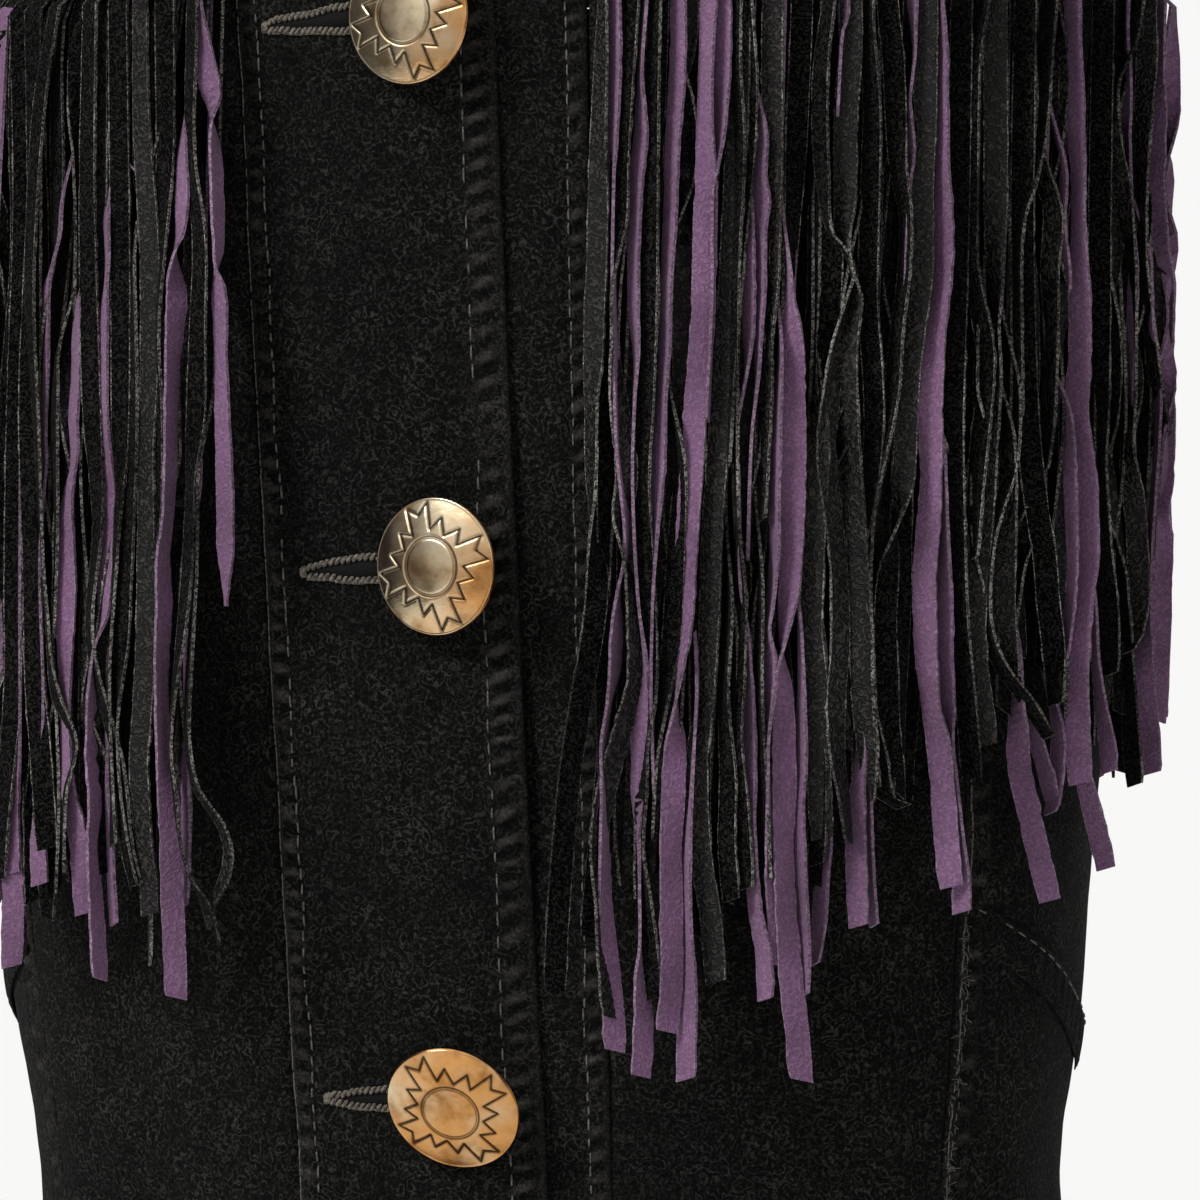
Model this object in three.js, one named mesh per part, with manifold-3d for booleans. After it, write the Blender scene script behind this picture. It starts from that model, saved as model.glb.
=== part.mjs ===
// Fringed black denim jacket, worn shape with no wearer, in millimetres with +Z up.
// The front faces -Y and the wearer's left is +X. The origin lies between the high
// points of the shoulders, where the wearer carries the jacket. Heights in the tables
// are measured up from the hem.
import * as THREE from "three";
import Module from "manifold-3d";

const wasm = await Module();
wasm.setup();

// Driving sizes
const bodyLength = 640;
const cloth = 2;
const seamGap = 0.3;
const yokeHeight = 422;
const underarmHeight = 434;
const conchoDiameter = 38;

// Half width and half depth of the body at each height
const bodySections = [
  { height: 0, halfWidth: 156, halfDepth: 90 },
  { height: 70, halfWidth: 152, halfDepth: 88 },
  { height: 125, halfWidth: 159, halfDepth: 92 },
  { height: 200, halfWidth: 166, halfDepth: 97.5 },
  { height: 300, halfWidth: 173, halfDepth: 104 },
  { height: 400, halfWidth: 178, halfDepth: 109 },
  { height: 440, halfWidth: 180, halfDepth: 111 },
];

// Soft folds of the worn body: place round the body, half angle, depth, and the height
// at which each fades out
const bodyFolds = [
  { angle: -36, spread: 6, depth: -2.4, top: 190 },
  { angle: -52, spread: 7, depth: 2.2, top: 240 },
  { angle: 34, spread: 7, depth: -1.8, top: 170 },
  { angle: 47, spread: 6, depth: 1.8, top: 260 },
  { angle: -84, spread: 9, depth: -2.6, top: 300 },
  { angle: 86, spread: 9, depth: -2.6, top: 300 },
  { angle: 132, spread: 8, depth: 2.6, top: 330 },
  { angle: 152, spread: 8, depth: -2.8, top: 280 },
  { angle: 178, spread: 9, depth: 2.4, top: 350 },
  { angle: -156, spread: 8, depth: -2.6, top: 300 },
  { angle: -134, spread: 8, depth: 2.4, top: 320 },
];

// Seams of the fronts
const princessTop = 51;
const princessBottom = 44;
const plackTop = 24.5;
const plackBottom = 28;
const underlap = 20;
const tuckRun = 14;
const sideFrontAngle = 58;
const sideBackAngle = 115;

// Neck, shoulder and armhole
const neckHalfWidth = 75;
const frontNeck = { depth: -66, height: 565 };
const backNeck = { depth: 62, height: 625 };
const shoulderNeck = { depth: 2, height: 640 };
const shoulderTip = { across: 198, depth: 8, height: 597 };
const frontBow = { depth: -112, height: 510 };
const backBow = { depth: 125, height: 560 };
const neckShare = 0.425;
const sideShare = 0.06;
const sideEase = 1.6;
const armholeFrontDepth = 58;
const armholeBackDepth = 54;
const armholeWaist = 165;
const trim = 0.002;

// Sleeves and cuffs
const sleeveDrop = THREE.MathUtils.degToRad(30);
const sleeveLength = 545;
const sleeveForward = 26;
const sleeveBlend = 0.3;
const sleeveSections = [
  { share: 0, radius: 60 },
  { share: 0.3, radius: 57 },
  { share: 0.55, radius: 52 },
  { share: 0.8, radius: 45 },
  { share: 1, radius: 40.5 },
];
const cuffLength = 48;
const cuffProud = 1.2;

// Collar
const standHeight = 30;
const standLean = 0.27;
const collarEnd = 0.95;
const collarRows = [
  { share: 0, slope: 62, width: 55 },
  { share: 0.5, slope: 37, width: 54 },
  { share: 0.8, slope: 57, width: 68 },
  { share: 0.95, slope: 66, width: 44 },
];

// Conchos: height on the front, distance from its centre line, turn to the wearer's
// right, droop and stand-off
const conchos = [
  { name: "concho_1", height: 532, across: 4, turn: 6, droop: 4, standOff: 4.5 },
  { name: "concho_2", height: 396.7, across: 4.5, turn: 14, droop: 2, standOff: 6 },
  { name: "concho_3", height: 247, across: 7, turn: 15, droop: 3, standOff: 6 },
  { name: "concho_4", height: 103.7, across: 6, turn: 4, droop: 28, standOff: 10 },
];
const conchoDome = 3.8;
const conchoPlate = 0.9;
const shankRadius = 2.6;

// Welts on the side panels
const weltStart = 59;
const weltEnd = 99;
const weltHigh = 153;
const weltFall = 38;
const weltDepth = 13;
const weltThickness = 1.2;

// Fringe
const stripBottom = 411;
const stripTop = 421;
const stripThickness = 1.2;
const strandWidth = 5.8;
const strandThickness = 1.2;
const rootHeight = 412.2;
const hangLean = 0.042;
const fringeStart = 18.5;
const fringeLengths = [
  { angle: 18, length: 306 },
  { angle: 32, length: 296 },
  { angle: 48, length: 262 },
  { angle: 64, length: 238 },
  { angle: 90, length: 228 },
  { angle: 130, length: 240 },
  { angle: 180, length: 286 },
];
const fringeLayers = [
  { name: "fringe_purple", strip: 0.5, hang: 3.8, pitch: 13.4, part: 0.5, seed: 7, tone: "purple" },
  { name: "fringe_black", strip: 3, hang: 9.1, pitch: 8.6, part: 0.25, seed: 3, tone: "leather" },
];
const fringeRegions = [
  { name: "front_left", from: fringeStart, to: 88 },
  { name: "back", from: 91, to: 269 },
  { name: "front_right", from: 272, to: 360 - fringeStart },
];

const finishes = {
  denim: { color: 0x181817, roughness: 0.93, metalness: 0 },
  leather: { color: 0x141312, roughness: 0.6, metalness: 0 },
  purple: { color: 0x6f536e, roughness: 0.9, metalness: 0 },
  brass: { color: 0xc69a5c, roughness: 0.34, metalness: 1 },
};

// Small helpers
const radians = THREE.MathUtils.degToRad;
const mix = THREE.MathUtils.lerp;
const ease = (x) => THREE.MathUtils.smoothstep(x, 0, 1);
const spread = (from, to, count) => Array.from({ length: count + 1 }, (_, i) => mix(from, to, i / count));
const vector = (x, y, z) => new THREE.Vector3(x, y, z);

// A repeatable number from 0 to 1 for a pair of counts
function chance(index, seed) {
  const value = Math.sin(index * 12.9898 + seed * 78.233) * 43758.5453;
  return value - Math.floor(value);
}

// Smooth reading of one column of a table at a value of its key column
function read(table, key, column, at) {
  const last = table.length - 1;
  const first = table[0];
  if (at <= first[key]) return first[column];
  if (at >= table[last][key]) return table[last][column];
  const i = table.findIndex((row) => row[key] > at) - 1;
  const [before, low] = [table[Math.max(i - 1, 0)], table[i]];
  const [high, after] = [table[i + 1], table[Math.min(i + 2, last)]];
  const run = high[key] - low[key];
  const f = (at - low[key]) / run;
  const slopeLow = ((high[column] - before[column]) / (high[key] - before[key])) * run;
  const slopeHigh = ((after[column] - low[column]) / (after[key] - low[key])) * run;
  const rise = high[column] - low[column];
  const cubic = slopeLow + slopeHigh - 2 * rise;
  const square = 3 * rise - 2 * slopeLow - slopeHigh;
  return low[column] + f * (slopeLow + f * (square + f * cubic));
}

// Closed wall between an outer and an inner skin, each a function of two values
function wall(outer, inner, across, along, closed = false) {
  const columns = closed ? across.slice(0, -1) : across;
  const points = [];
  for (const skin of [outer, inner]) {
    for (const v of along) {
      for (const u of columns) points.push(skin(u, v));
    }
  }
  const wide = columns.length;
  const half = wide * along.length;
  const faces = [];
  const quad = (a, b, c, d) => faces.push(a, b, c, a, c, d);
  const steps = closed ? wide : wide - 1;
  for (let j = 0; j < along.length - 1; j += 1) {
    for (let i = 0; i < steps; i += 1) {
      const next = (i + 1) % wide;
      const [a, b] = [j * wide + i, j * wide + next];
      const [c, d] = [(j + 1) * wide + next, (j + 1) * wide + i];
      quad(a, b, c, d);
      quad(half + b, half + a, half + d, half + c);
    }
  }
  const top = (along.length - 1) * wide;
  for (let i = 0; i < steps; i += 1) {
    const next = (i + 1) % wide;
    quad(i, half + i, half + next, next);
    quad(top + next, half + top + next, half + top + i, top + i);
  }
  if (!closed) {
    for (let j = 0; j < along.length - 1; j += 1) {
      const [low, high] = [j * wide, (j + 1) * wide];
      quad(low, high, half + high, half + low);
      const [lowEnd, highEnd] = [low + wide - 1, high + wide - 1];
      quad(highEnd, lowEnd, half + lowEnd, half + highEnd);
    }
  }
  return solid(points, faces);
}

function solid(points, faces) {
  const geometry = new THREE.BufferGeometry();
  const flat = new Float32Array(points.length * 3);
  points.forEach((point, i) => point.toArray(flat, i * 3));
  geometry.setAttribute("position", new THREE.BufferAttribute(flat, 3));
  geometry.setIndex(faces);
  return geometry;
}

const group = new THREE.Group();

function add(name, geometry, tone) {
  geometry.computeVertexNormals();
  const mesh = new THREE.Mesh(geometry, new THREE.MeshStandardMaterial(finishes[tone]));
  mesh.name = name;
  group.add(mesh);
  return mesh;
}

// Body below the yoke seam: a point at an angle from the centre front, moved out by a
// distance
function foldAt(angle, height) {
  const turned = ((angle + 180) % 360 + 360) % 360 - 180;
  let depth = 0;
  for (const fold of bodyFolds) {
    let off = Math.abs(turned - fold.angle);
    off = Math.min(off, 360 - off) / fold.spread;
    const fade = ease(1 - height / fold.top);
    depth += fold.depth * Math.exp(-off * off) * fade;
  }
  return depth;
}

function bodyPoint(angle, height, out = 0) {
  const grow = out + foldAt(angle, height);
  const a = read(bodySections, "height", "halfWidth", height) + grow;
  const b = read(bodySections, "height", "halfDepth", height) + grow;
  const t = radians(angle);
  return vector(a * Math.sin(t), -b * Math.cos(t), height - bodyLength);
}

// Angle at which the body is a given distance to the side of the centre front
function angleAcross(across, height) {
  const a = read(bodySections, "height", "halfWidth", height);
  return THREE.MathUtils.radToDeg(Math.asin(across / a));
}

const princessAcross = (height) => mix(princessBottom, princessTop, height / yokeHeight);

const plackAcross = (height) => mix(plackBottom, plackTop, height / yokeHeight);

// How far the lower front is tucked under the upper one, at a distance from the centre
function tuckAt(across, height = yokeHeight) {
  const full = cloth + seamGap;
  return full * (1 - ease((across - plackAcross(height) - 1.5) / tuckRun));
}

// Panels of the body: each runs between two edges given as angles at a height
const panelTop = yokeHeight - seamGap / 2;
const panelHeights = spread(0, panelTop, 13);

function panel(name, fromEdge, toEdge, columns, sink = () => 0) {
  const place = (u, height) => {
    const from = fromEdge(height);
    const to = toEdge(height);
    return mix(from, to, u);
  };
  const skin = (out) => (u, height) => {
    const angle = place(u, height);
    return bodyPoint(angle, height, out - sink(angle, height));
  };
  add(name, wall(skin(0), skin(-cloth), spread(0, 1, columns), panelHeights), "denim");
}

const gapAngle = 0.08;
const princessAngle = (height) => angleAcross(princessAcross(height), height);
const plackAngle = (height) => angleAcross(plackAcross(height), height);
const midColumns = 6;
const sideColumns = 7;
const backColumns = 15;

panel("front_centre_right", (h) => -princessAngle(h) + gapAngle, plackAngle, 6);
panel(
  "front_centre_left",
  (h) => -angleAcross(underlap, h),
  (h) => princessAngle(h) - gapAngle,
  8,
  (angle, h) => tuckAt(Math.sin(radians(angle)) * read(bodySections, "height", "halfWidth", h), h),
);
for (const [side, sign] of [["left", 1], ["right", -1]]) {
  const edges = [
    ["front_mid", (h) => princessAngle(h) + gapAngle, () => sideFrontAngle - gapAngle, midColumns],
    ["side", () => sideFrontAngle + gapAngle, () => sideBackAngle - gapAngle, sideColumns],
  ];
  for (const [name, near, far, columns] of edges) {
    const from = sign > 0 ? near : (h) => -far(h);
    const to = sign > 0 ? far : (h) => -near(h);
    panel(`${name}_${side}`, from, to, columns);
  }
}
panel("back", () => sideBackAngle + gapAngle, () => 360 - sideBackAngle - gapAngle, backColumns);

// Upper body: one surface for the front and one for the back, each between the yoke
// seam, the armhole, the shoulder seam, the neckline and the centre line
function armholePoint(angle) {
  const t = radians(angle);
  const rise = (1 - Math.cos(t)) / 2;
  const height = mix(underarmHeight, shoulderTip.height, rise);
  const depth = t > 0 ? armholeFrontDepth : armholeBackDepth;
  const start = read(bodySections, "height", "halfWidth", underarmHeight);
  const across = mix(start, shoulderTip.across, rise * rise) - (start - armholeWaist) * 4 * rise * (1 - rise);
  return vector(across, shoulderTip.depth * rise - depth * Math.sin(t), height - bodyLength);
}

function arc(from, bow, to, v) {
  const depth = mix(mix(from.depth, bow.depth, v), mix(bow.depth, to.depth, v), v);
  const height = mix(mix(from.height, bow.height, v), mix(bow.height, to.height, v), v);
  return vector(0, depth, height - bodyLength);
}

function upperEdges(front) {
  const neck = front ? frontNeck : backNeck;
  const bow = front ? frontBow : backBow;
  const seam = { depth: bodyPoint(front ? 0 : 180, yokeHeight).y, height: yokeHeight };
  const turn = front ? 1 : -1;
  const bottom = (p) => bodyPoint(front ? 90 * p : 180 - 90 * p, yokeHeight);
  const top = (p) => {
    if (p <= neckShare) {
      const s = (p / neckShare) * (Math.PI / 2);
      const depth = mix(neck.depth, shoulderNeck.depth, 1 - Math.cos(s));
      const height = mix(neck.height, shoulderNeck.height, 1 - Math.cos(s));
      return vector(neckHalfWidth * Math.sin(s), depth, height - bodyLength);
    }
    const s = (p - neckShare) / (1 - neckShare);
    const across = mix(neckHalfWidth, shoulderTip.across, s);
    const depth = mix(shoulderNeck.depth, shoulderTip.depth, s);
    return vector(across, depth, mix(shoulderNeck.height, shoulderTip.height, s) - bodyLength);
  };
  const centre = (v) => arc(seam, bow, neck, v);
  const side = (v) => {
    if (v > sideShare) return armholePoint((turn * 180 * (v - sideShare)) / (1 - sideShare));
    return bodyPoint(90, mix(yokeHeight, underarmHeight, v / sideShare));
  };
  return { bottom, top, centre, side };
}

function upperSurface(front) {
  const edges = upperEdges(front);
  const corner = [edges.bottom(0), edges.bottom(1), edges.top(0), edges.top(1)];
  return (across, v) => {
    const p = Math.abs(across);
    const share = p ** sideEase;
    const point = edges.bottom(p).multiplyScalar(1 - v);
    point.addScaledVector(edges.top(p), v);
    point.addScaledVector(edges.centre(v), 1 - share);
    point.addScaledVector(edges.side(v), share);
    point.addScaledVector(corner[0], -(1 - share) * (1 - v));
    point.addScaledVector(corner[1], -share * (1 - v));
    point.addScaledVector(corner[2], -(1 - share) * v);
    point.addScaledVector(corner[3], -share * v);
    if (across < 0) point.x = -point.x;
    return point;
  };
}

// Outward direction of a surface, level at the yoke seam and shared by front and back
// at the shoulder seam
function upperNormal(surface, front) {
  const step = 0.004;
  const shoulderUp = vector(0.33, 0, 0.94);
  const turn = front ? 1 : -1;
  return (p, v) => {
    const [left, right] = [surface(Math.max(p - step, -1), v), surface(Math.min(p + step, 1), v)];
    const [low, high] = [surface(p, Math.max(v - step, 0)), surface(p, Math.min(v + step, 1))];
    const normal = right.sub(left).cross(high.sub(low)).normalize();
    normal.multiplyScalar(turn);
    const t = radians(90 * p);
    const level = vector(Math.sin(t) / 1.25, -Math.cos(t) * turn, 0).normalize();
    const underarm = (1 - ease((v - 0.1) / 0.2)) * ease((Math.abs(p) - 0.8) / 0.15);
    normal.lerp(level, Math.max(1 - ease(v / 0.15), underarm));
    const ridge = ease((v - 0.8) / 0.2) * ease((Math.abs(p) - neckShare) / 0.12 + 1);
    const up = vector(shoulderUp.x * Math.sign(p), 0, shoulderUp.z);
    return normal.lerp(up, ridge).normalize();
  };
}

const yokeRows = spread(sideShare + 0.01, 1 - trim, 9);

function yoke(name, front, columns, sink = () => 0) {
  const surface = upperSurface(front);
  const normal = upperNormal(surface, front);
  const skin = (out) => (p, v) => {
    const point = surface(p, v);
    return point.addScaledVector(normal(p, v), out - sink(point.x));
  };
  const lift = seamGap / 2 / (underarmHeight - yokeHeight) * sideShare;
  const rows = [lift * 2, ...yokeRows];
  add(name, wall(skin(0), skin(-cloth), columns, rows), "denim");
}

const plackShare = 0.088;
const collarShare = neckShare * (1 - collarEnd) * 2;
const neckColumns = [0, collarShare, ...spread(0, neckShare, 5).slice(1)];
const halfColumns = [...neckColumns, ...spread(neckShare, 1 - trim, 5).slice(1)];
const otherHalf = halfColumns.map((p) => -p).reverse();
yoke("front_yoke_left", true, [-plackShare * 0.8, ...halfColumns], tuckAt);
yoke("front_yoke_right", true, [...otherHalf, collarShare, plackShare]);
yoke("back_yoke", false, [...otherHalf.slice(0, -1), ...halfColumns].reverse());

// Sleeves: a tube from the armhole to the wrist, held out from the body
const sleeveAlong = vector(Math.cos(sleeveDrop), 0, -Math.sin(sleeveDrop));
const sleeveDown = vector(-Math.sin(sleeveDrop), 0, -Math.cos(sleeveDrop));
const armholeCentre = vector(170, 0, (underarmHeight + shoulderTip.height) / 2 - bodyLength);

function sleeveRing(angle, share, out) {
  const t = radians(angle);
  const radius = read(sleeveSections, "share", "radius", share) + out;
  const point = armholeCentre.clone().addScaledVector(sleeveAlong, share * sleeveLength);
  point.addScaledVector(sleeveDown, radius * Math.cos(t));
  point.y -= radius * Math.sin(t) + sleeveForward * share * share;
  return point;
}

function sleevePoint(angle, share, out) {
  const turned = angle > 180 ? angle - 360 : angle;
  const loop = armholePoint(turned);
  const heart = vector(loop.x, shoulderTip.depth / 2, armholeCentre.z);
  const shrink = heart.sub(loop).normalize();
  loop.addScaledVector(shrink, -out);
  loop.x += seamGap * 2;
  loop.addScaledVector(sleeveAlong, share * sleeveLength);
  return loop.lerp(sleeveRing(angle, share, out), ease(share / sleeveBlend));
}

function mirrored(skin, side) {
  return (u, v) => {
    const point = skin(side > 0 ? u : -u, v);
    point.x *= side;
    return point;
  };
}

const round = (angle) => ((angle % 360) + 360) % 360;
const armholeAngles = yokeRows.map((v) => (180 * (v - sideShare)) / (1 - sideShare)).slice(1, -1);
const sleeveAngles = [0, ...armholeAngles, 180, ...armholeAngles.map((angle) => 360 - angle).reverse(), 360];
for (const [name, side] of [["left", 1], ["right", -1]]) {
  const skin = (out) => mirrored((u, v) => sleevePoint(round(-u), v, out), side);
  const rows = [0, 0.06, 0.14, 0.23, 0.33, 0.44, 0.55, 0.67, 0.83, 1];
  add(`sleeve_${name}`, wall(skin(0), skin(-cloth), sleeveAngles, rows, true), "denim");
  const cuffStart = 1 + (seamGap * 1.5) / sleeveLength;
  const cuffEnd = cuffStart + cuffLength / sleeveLength;
  const ring = (out) => mirrored((u, v) => sleeveRing(round(-u), v, out), side);
  const cuffRows = spread(cuffStart, cuffEnd, 2);
  const cuffWall = wall(ring(cuffProud), ring(cuffProud - cloth), sleeveAngles, cuffRows, true);
  add(`cuff_${name}`, cuffWall, "denim");
}

// Collar: a stand on the neckline and a leaf turned down over it. The share runs from
// the centre back, 0, to the centre front, 1, and is negative on the wearer's right.
function neckPoint(share) {
  const s = Math.abs(share);
  const front = s > 0.5;
  const p = front ? neckShare * (1 - s) * 2 : neckShare * s * 2;
  const point = upperEdges(front).top(p);
  if (share < 0) point.x = -point.x;
  return point;
}

function neckOut(share) {
  const point = neckPoint(share);
  return vector(point.x, point.y + 2, 0).normalize();
}

function standPoint(share, v, out) {
  const away = neckOut(share);
  const point = neckPoint(share).addScaledVector(away, out - standLean * standHeight * v);
  point.z += standHeight * v + seamGap;
  return point;
}

function leafPoint(share, row, under) {
  const s = Math.abs(share);
  const slope = radians(read(collarRows, "share", "slope", s));
  const width = read(collarRows, "share", "width", s);
  const fold = [
    { out: -1, up: 2.6 },
    { out: 2.2, up: 4.4 },
    { out: 6.2, up: 2.4 },
  ];
  const inside = [
    { out: -1, up: 0.6 },
    { out: 1.9, up: 2.4 },
    { out: 4.5, up: 1.1 },
  ];
  const list = under ? inside : fold;
  const spot = { ...list[Math.min(row, 2)] };
  if (row > 2) {
    const run = (width * (row - 2)) / 2;
    spot.out += run * Math.cos(slope);
    spot.up -= run * Math.sin(slope);
  }
  const point = standPoint(share, 1, spot.out);
  point.z += spot.up;
  return point;
}

const collarShares = [collarEnd, ...spread(0.9, -0.9, 18), -collarEnd];
const standSkin = (out) => (share, v) => standPoint(share, v, out);
add("collar_stand", wall(standSkin(0), standSkin(-cloth), collarShares, [0, 1]), "denim");
const leafSkin = (under) => (share, row) => leafPoint(share, 4 - row, under);
const leafWall = wall(leafSkin(false), leafSkin(true), collarShares, [0, 1, 2, 3, 4]);
add("collar_leaf", leafWall, "denim");

// Welts over the openings of the side pockets
for (const [name, sign] of [["left", 1], ["right", -1]]) {
  const angles = spread(weltStart, weltEnd, 7);
  const list = sign > 0 ? angles : angles.map((angle) => -angle).reverse();
  const skin = (out) => (angle, v) => {
    const fall = (Math.abs(angle) - weltStart) / (weltEnd - weltStart);
    return bodyPoint(angle, weltHigh - weltDepth * (1 - v) - weltFall * fall, out);
  };
  const outer = seamGap + 0.35 + weltThickness;
  add(`welt_${name}`, wall(skin(outer), skin(outer - weltThickness), list, [0, 1]), "denim");
}

// Conchos: a domed plate on a short shank, down the front opening
function conchoGeometry(standOff) {
  const radius = conchoDiameter / 2;
  const profile = [
    [0, -standOff],
    [shankRadius, -standOff],
    [shankRadius, 0],
    [radius - 0.6, 0],
    [radius, conchoPlate * 0.6],
    [radius - 0.5, conchoPlate],
  ];
  for (const share of [0.8, 0.55, 0.28]) {
    profile.push([radius * share, conchoPlate + (conchoDome - conchoPlate) * (1 - share * share)]);
  }
  profile.push([0, conchoDome]);
  return new THREE.LatheGeometry(profile.map(([x, y]) => new THREE.Vector2(x, y)), 20);
}

const frontSurface = upperSurface(true);
for (const concho of conchos) {
  const upperShare = (concho.height - yokeHeight) / (frontNeck.height - yokeHeight);
  const lower = concho.height < yokeHeight;
  const turned = angleAcross(concho.across, Math.min(concho.height, yokeHeight));
  const seat = lower ? bodyPoint(turned, concho.height) : frontSurface(turned / 90, upperShare);
  const away = lower ? vector(0, -1, 0) : upperNormal(frontSurface, true)(0.01, upperShare);
  away.x = 0;
  const facing = away.normalize().clone();
  facing.applyAxisAngle(vector(1, 0, 0), radians(concho.droop));
  facing.applyAxisAngle(vector(0, 0, 1), -radians(concho.turn));
  const mesh = add(concho.name, conchoGeometry(concho.standOff), "brass");
  mesh.quaternion.setFromUnitVectors(vector(0, 1, 0), facing);
  const lift = shankRadius * Math.sin(away.angleTo(facing)) + seamGap;
  mesh.position.copy(seat).addScaledVector(facing, concho.standOff).addScaledVector(away, lift);
}

// Fringe: flat strands hanging plumb from a narrow strip, two layers round the body
function columnAngles(from, to) {
  const princess = princessAngle(stripBottom);
  const near = [
    ...spread(princess, sideFrontAngle, midColumns),
    ...spread(sideFrontAngle, sideBackAngle, sideColumns).slice(1),
  ];
  const back = spread(sideBackAngle, 360 - sideBackAngle, backColumns).slice(1, -1);
  const all = [...near, ...back, ...near.map((angle) => 360 - angle).reverse()];
  return [from, ...all.filter((angle) => angle > from + 1 && angle < to - 1), to];
}

const toManifold = (geometry) => new wasm.Manifold(
  new wasm.Mesh({
    numProp: 3,
    vertProperties: geometry.attributes.position.array,
    triVerts: new Uint32Array(geometry.index.array),
  }),
);

function fromManifold(manifold) {
  const mesh = manifold.getMesh();
  const geometry = new THREE.BufferGeometry();
  geometry.setAttribute("position", new THREE.BufferAttribute(mesh.vertProperties, 3));
  geometry.setIndex(new THREE.BufferAttribute(mesh.triVerts, 1));
  return geometry;
}

function strand(angle, index, layer) {
  const folded = Math.min(angle, 360 - angle);
  const length = read(fringeLengths, "angle", "length", folded) + 34 * (chance(index, layer.seed) - 0.5);
  const twist = radians(44 * (chance(index, layer.seed + 1) - 0.5));
  const slant = 7 * (chance(index, layer.seed + 2) - 0.5);
  const wander = radians(angle * 5);
  const t = radians(angle);
  const level = bodyPoint(angle, rootHeight).sub(bodyPoint(angle, rootHeight, -1));
  const away = level.clone().normalize();
  const beside = vector(-away.y, away.x, 0);
  const rows = [
    { share: 0, out: layer.strip + stripThickness / 2, turn: 0 },
    { share: 0.06, out: layer.hang, turn: 0.3 },
    { share: 0.52, out: layer.hang, turn: 1 },
    { share: 1, out: layer.hang, turn: 0.2 },
  ];
  const points = [];
  for (const row of rows) {
    const drop = row.share * length;
    const sway = 3 * Math.sin(wander + row.share * 4) * row.share;
    const centre = bodyPoint(angle, rootHeight, row.out);
    centre.addScaledVector(beside, sway);
    centre.x -= hangLean * drop;
    centre.z -= drop;
    const turn = twist * row.turn;
    const wide = beside.clone().multiplyScalar(Math.cos(turn)).addScaledVector(away, Math.sin(turn));
    const thick = away.clone().multiplyScalar(Math.cos(turn)).addScaledVector(beside, -Math.sin(turn));
    const half = strandWidth / 2;
    const skin = row.share === 0 ? strandThickness * 0.4 : strandThickness / 2;
    for (const [w, n] of [[-1, 1], [1, 1], [0, -1]]) {
      const corner = centre.clone().addScaledVector(wide, w * half).addScaledVector(thick, n * skin);
      if (row.share === 1) corner.z += w * slant;
      points.push(corner);
    }
  }
  const sides = 3;
  const last = points.length - sides;
  const faces = [0, 1, 2, last, last + 2, last + 1];
  for (let k = 0; k < rows.length - 1; k += 1) {
    for (let i = 0; i < sides; i += 1) {
      const [a, b] = [k * sides + i, k * sides + ((i + 1) % sides)];
      faces.push(a, a + sides, b + sides, a, b + sides, b);
    }
  }
  return solid(points, faces);
}

function fringe(layer, region) {
  const angles = columnAngles(region.from, region.to);
  const skin = (out) => (angle, height) => bodyPoint(angle, height, out);
  const outer = layer.strip + stripThickness;
  const pieces = [wall(skin(outer), skin(layer.strip), angles, [stripBottom, stripTop])];
  const step = 1;
  let travelled = layer.pitch * layer.part;
  let index = 0;
  for (let angle = region.from; angle < region.to - step; angle += step) {
    const run = bodyPoint(angle, rootHeight).distanceTo(bodyPoint(angle + step, rootHeight));
    travelled += run;
    if (travelled >= layer.pitch) {
      const back = (travelled - layer.pitch) / run;
      pieces.push(strand(angle + step * (1 - back), index, layer));
      travelled -= layer.pitch;
      index += 1;
    }
  }
  const joined = wasm.Manifold.union(pieces.map(toManifold));
  add(`${layer.name}_${region.name}`, fromManifold(joined), layer.tone);
}

for (const layer of fringeLayers) {
  for (const region of fringeRegions) fringe(layer, region);
}

export default group;
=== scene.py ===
import math

import bmesh
import bpy
import numpy as np
from mathutils import Matrix, Vector


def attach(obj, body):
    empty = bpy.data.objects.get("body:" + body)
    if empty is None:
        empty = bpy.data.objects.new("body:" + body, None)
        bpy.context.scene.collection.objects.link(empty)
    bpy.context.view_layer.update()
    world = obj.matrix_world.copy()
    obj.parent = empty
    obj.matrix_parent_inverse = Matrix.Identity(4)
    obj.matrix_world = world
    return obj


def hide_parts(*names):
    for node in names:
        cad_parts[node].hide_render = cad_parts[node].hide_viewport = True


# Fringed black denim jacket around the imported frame. Lengths below are in millimetres
# and become metres when a mesh is made. The front faces -Y, the wearer's left is +X, and
# heights are measured up from the hem, as in the tables.
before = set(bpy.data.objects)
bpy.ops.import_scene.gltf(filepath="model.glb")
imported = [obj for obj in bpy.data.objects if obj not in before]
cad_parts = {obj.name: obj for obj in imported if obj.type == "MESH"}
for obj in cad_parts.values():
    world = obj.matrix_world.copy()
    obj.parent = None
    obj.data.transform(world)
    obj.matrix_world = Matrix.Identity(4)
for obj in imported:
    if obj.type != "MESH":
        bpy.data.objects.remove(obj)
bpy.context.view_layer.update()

MM = 0.001
BODY_LENGTH = 640.0
CLOTH = 2.0
GAP = 0.3
YOKE_HEIGHT = 422.0
UNDERARM = 434.0
CONCHO_RADIUS = 19.0

# Height, half width and half depth of the body
BODY = np.array([
    (0, 156, 90),
    (70, 152, 88),
    (125, 159, 92),
    (200, 166, 97.5),
    (300, 173, 104),
    (400, 178, 109),
    (440, 180, 111),
], float)

# Place round the body, half angle, depth and fade-out height of each soft fold
FOLDS = [
    (-36, 6, -2.4, 190),
    (-52, 7, 2.2, 240),
    (34, 7, -1.8, 170),
    (47, 6, 1.8, 260),
    (-84, 9, -2.6, 300),
    (86, 9, -2.6, 300),
    (132, 8, 2.6, 330),
    (152, 8, -2.8, 280),
    (178, 9, 2.4, 350),
    (-156, 8, -2.6, 300),
    (-134, 8, 2.4, 320),
]

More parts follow.
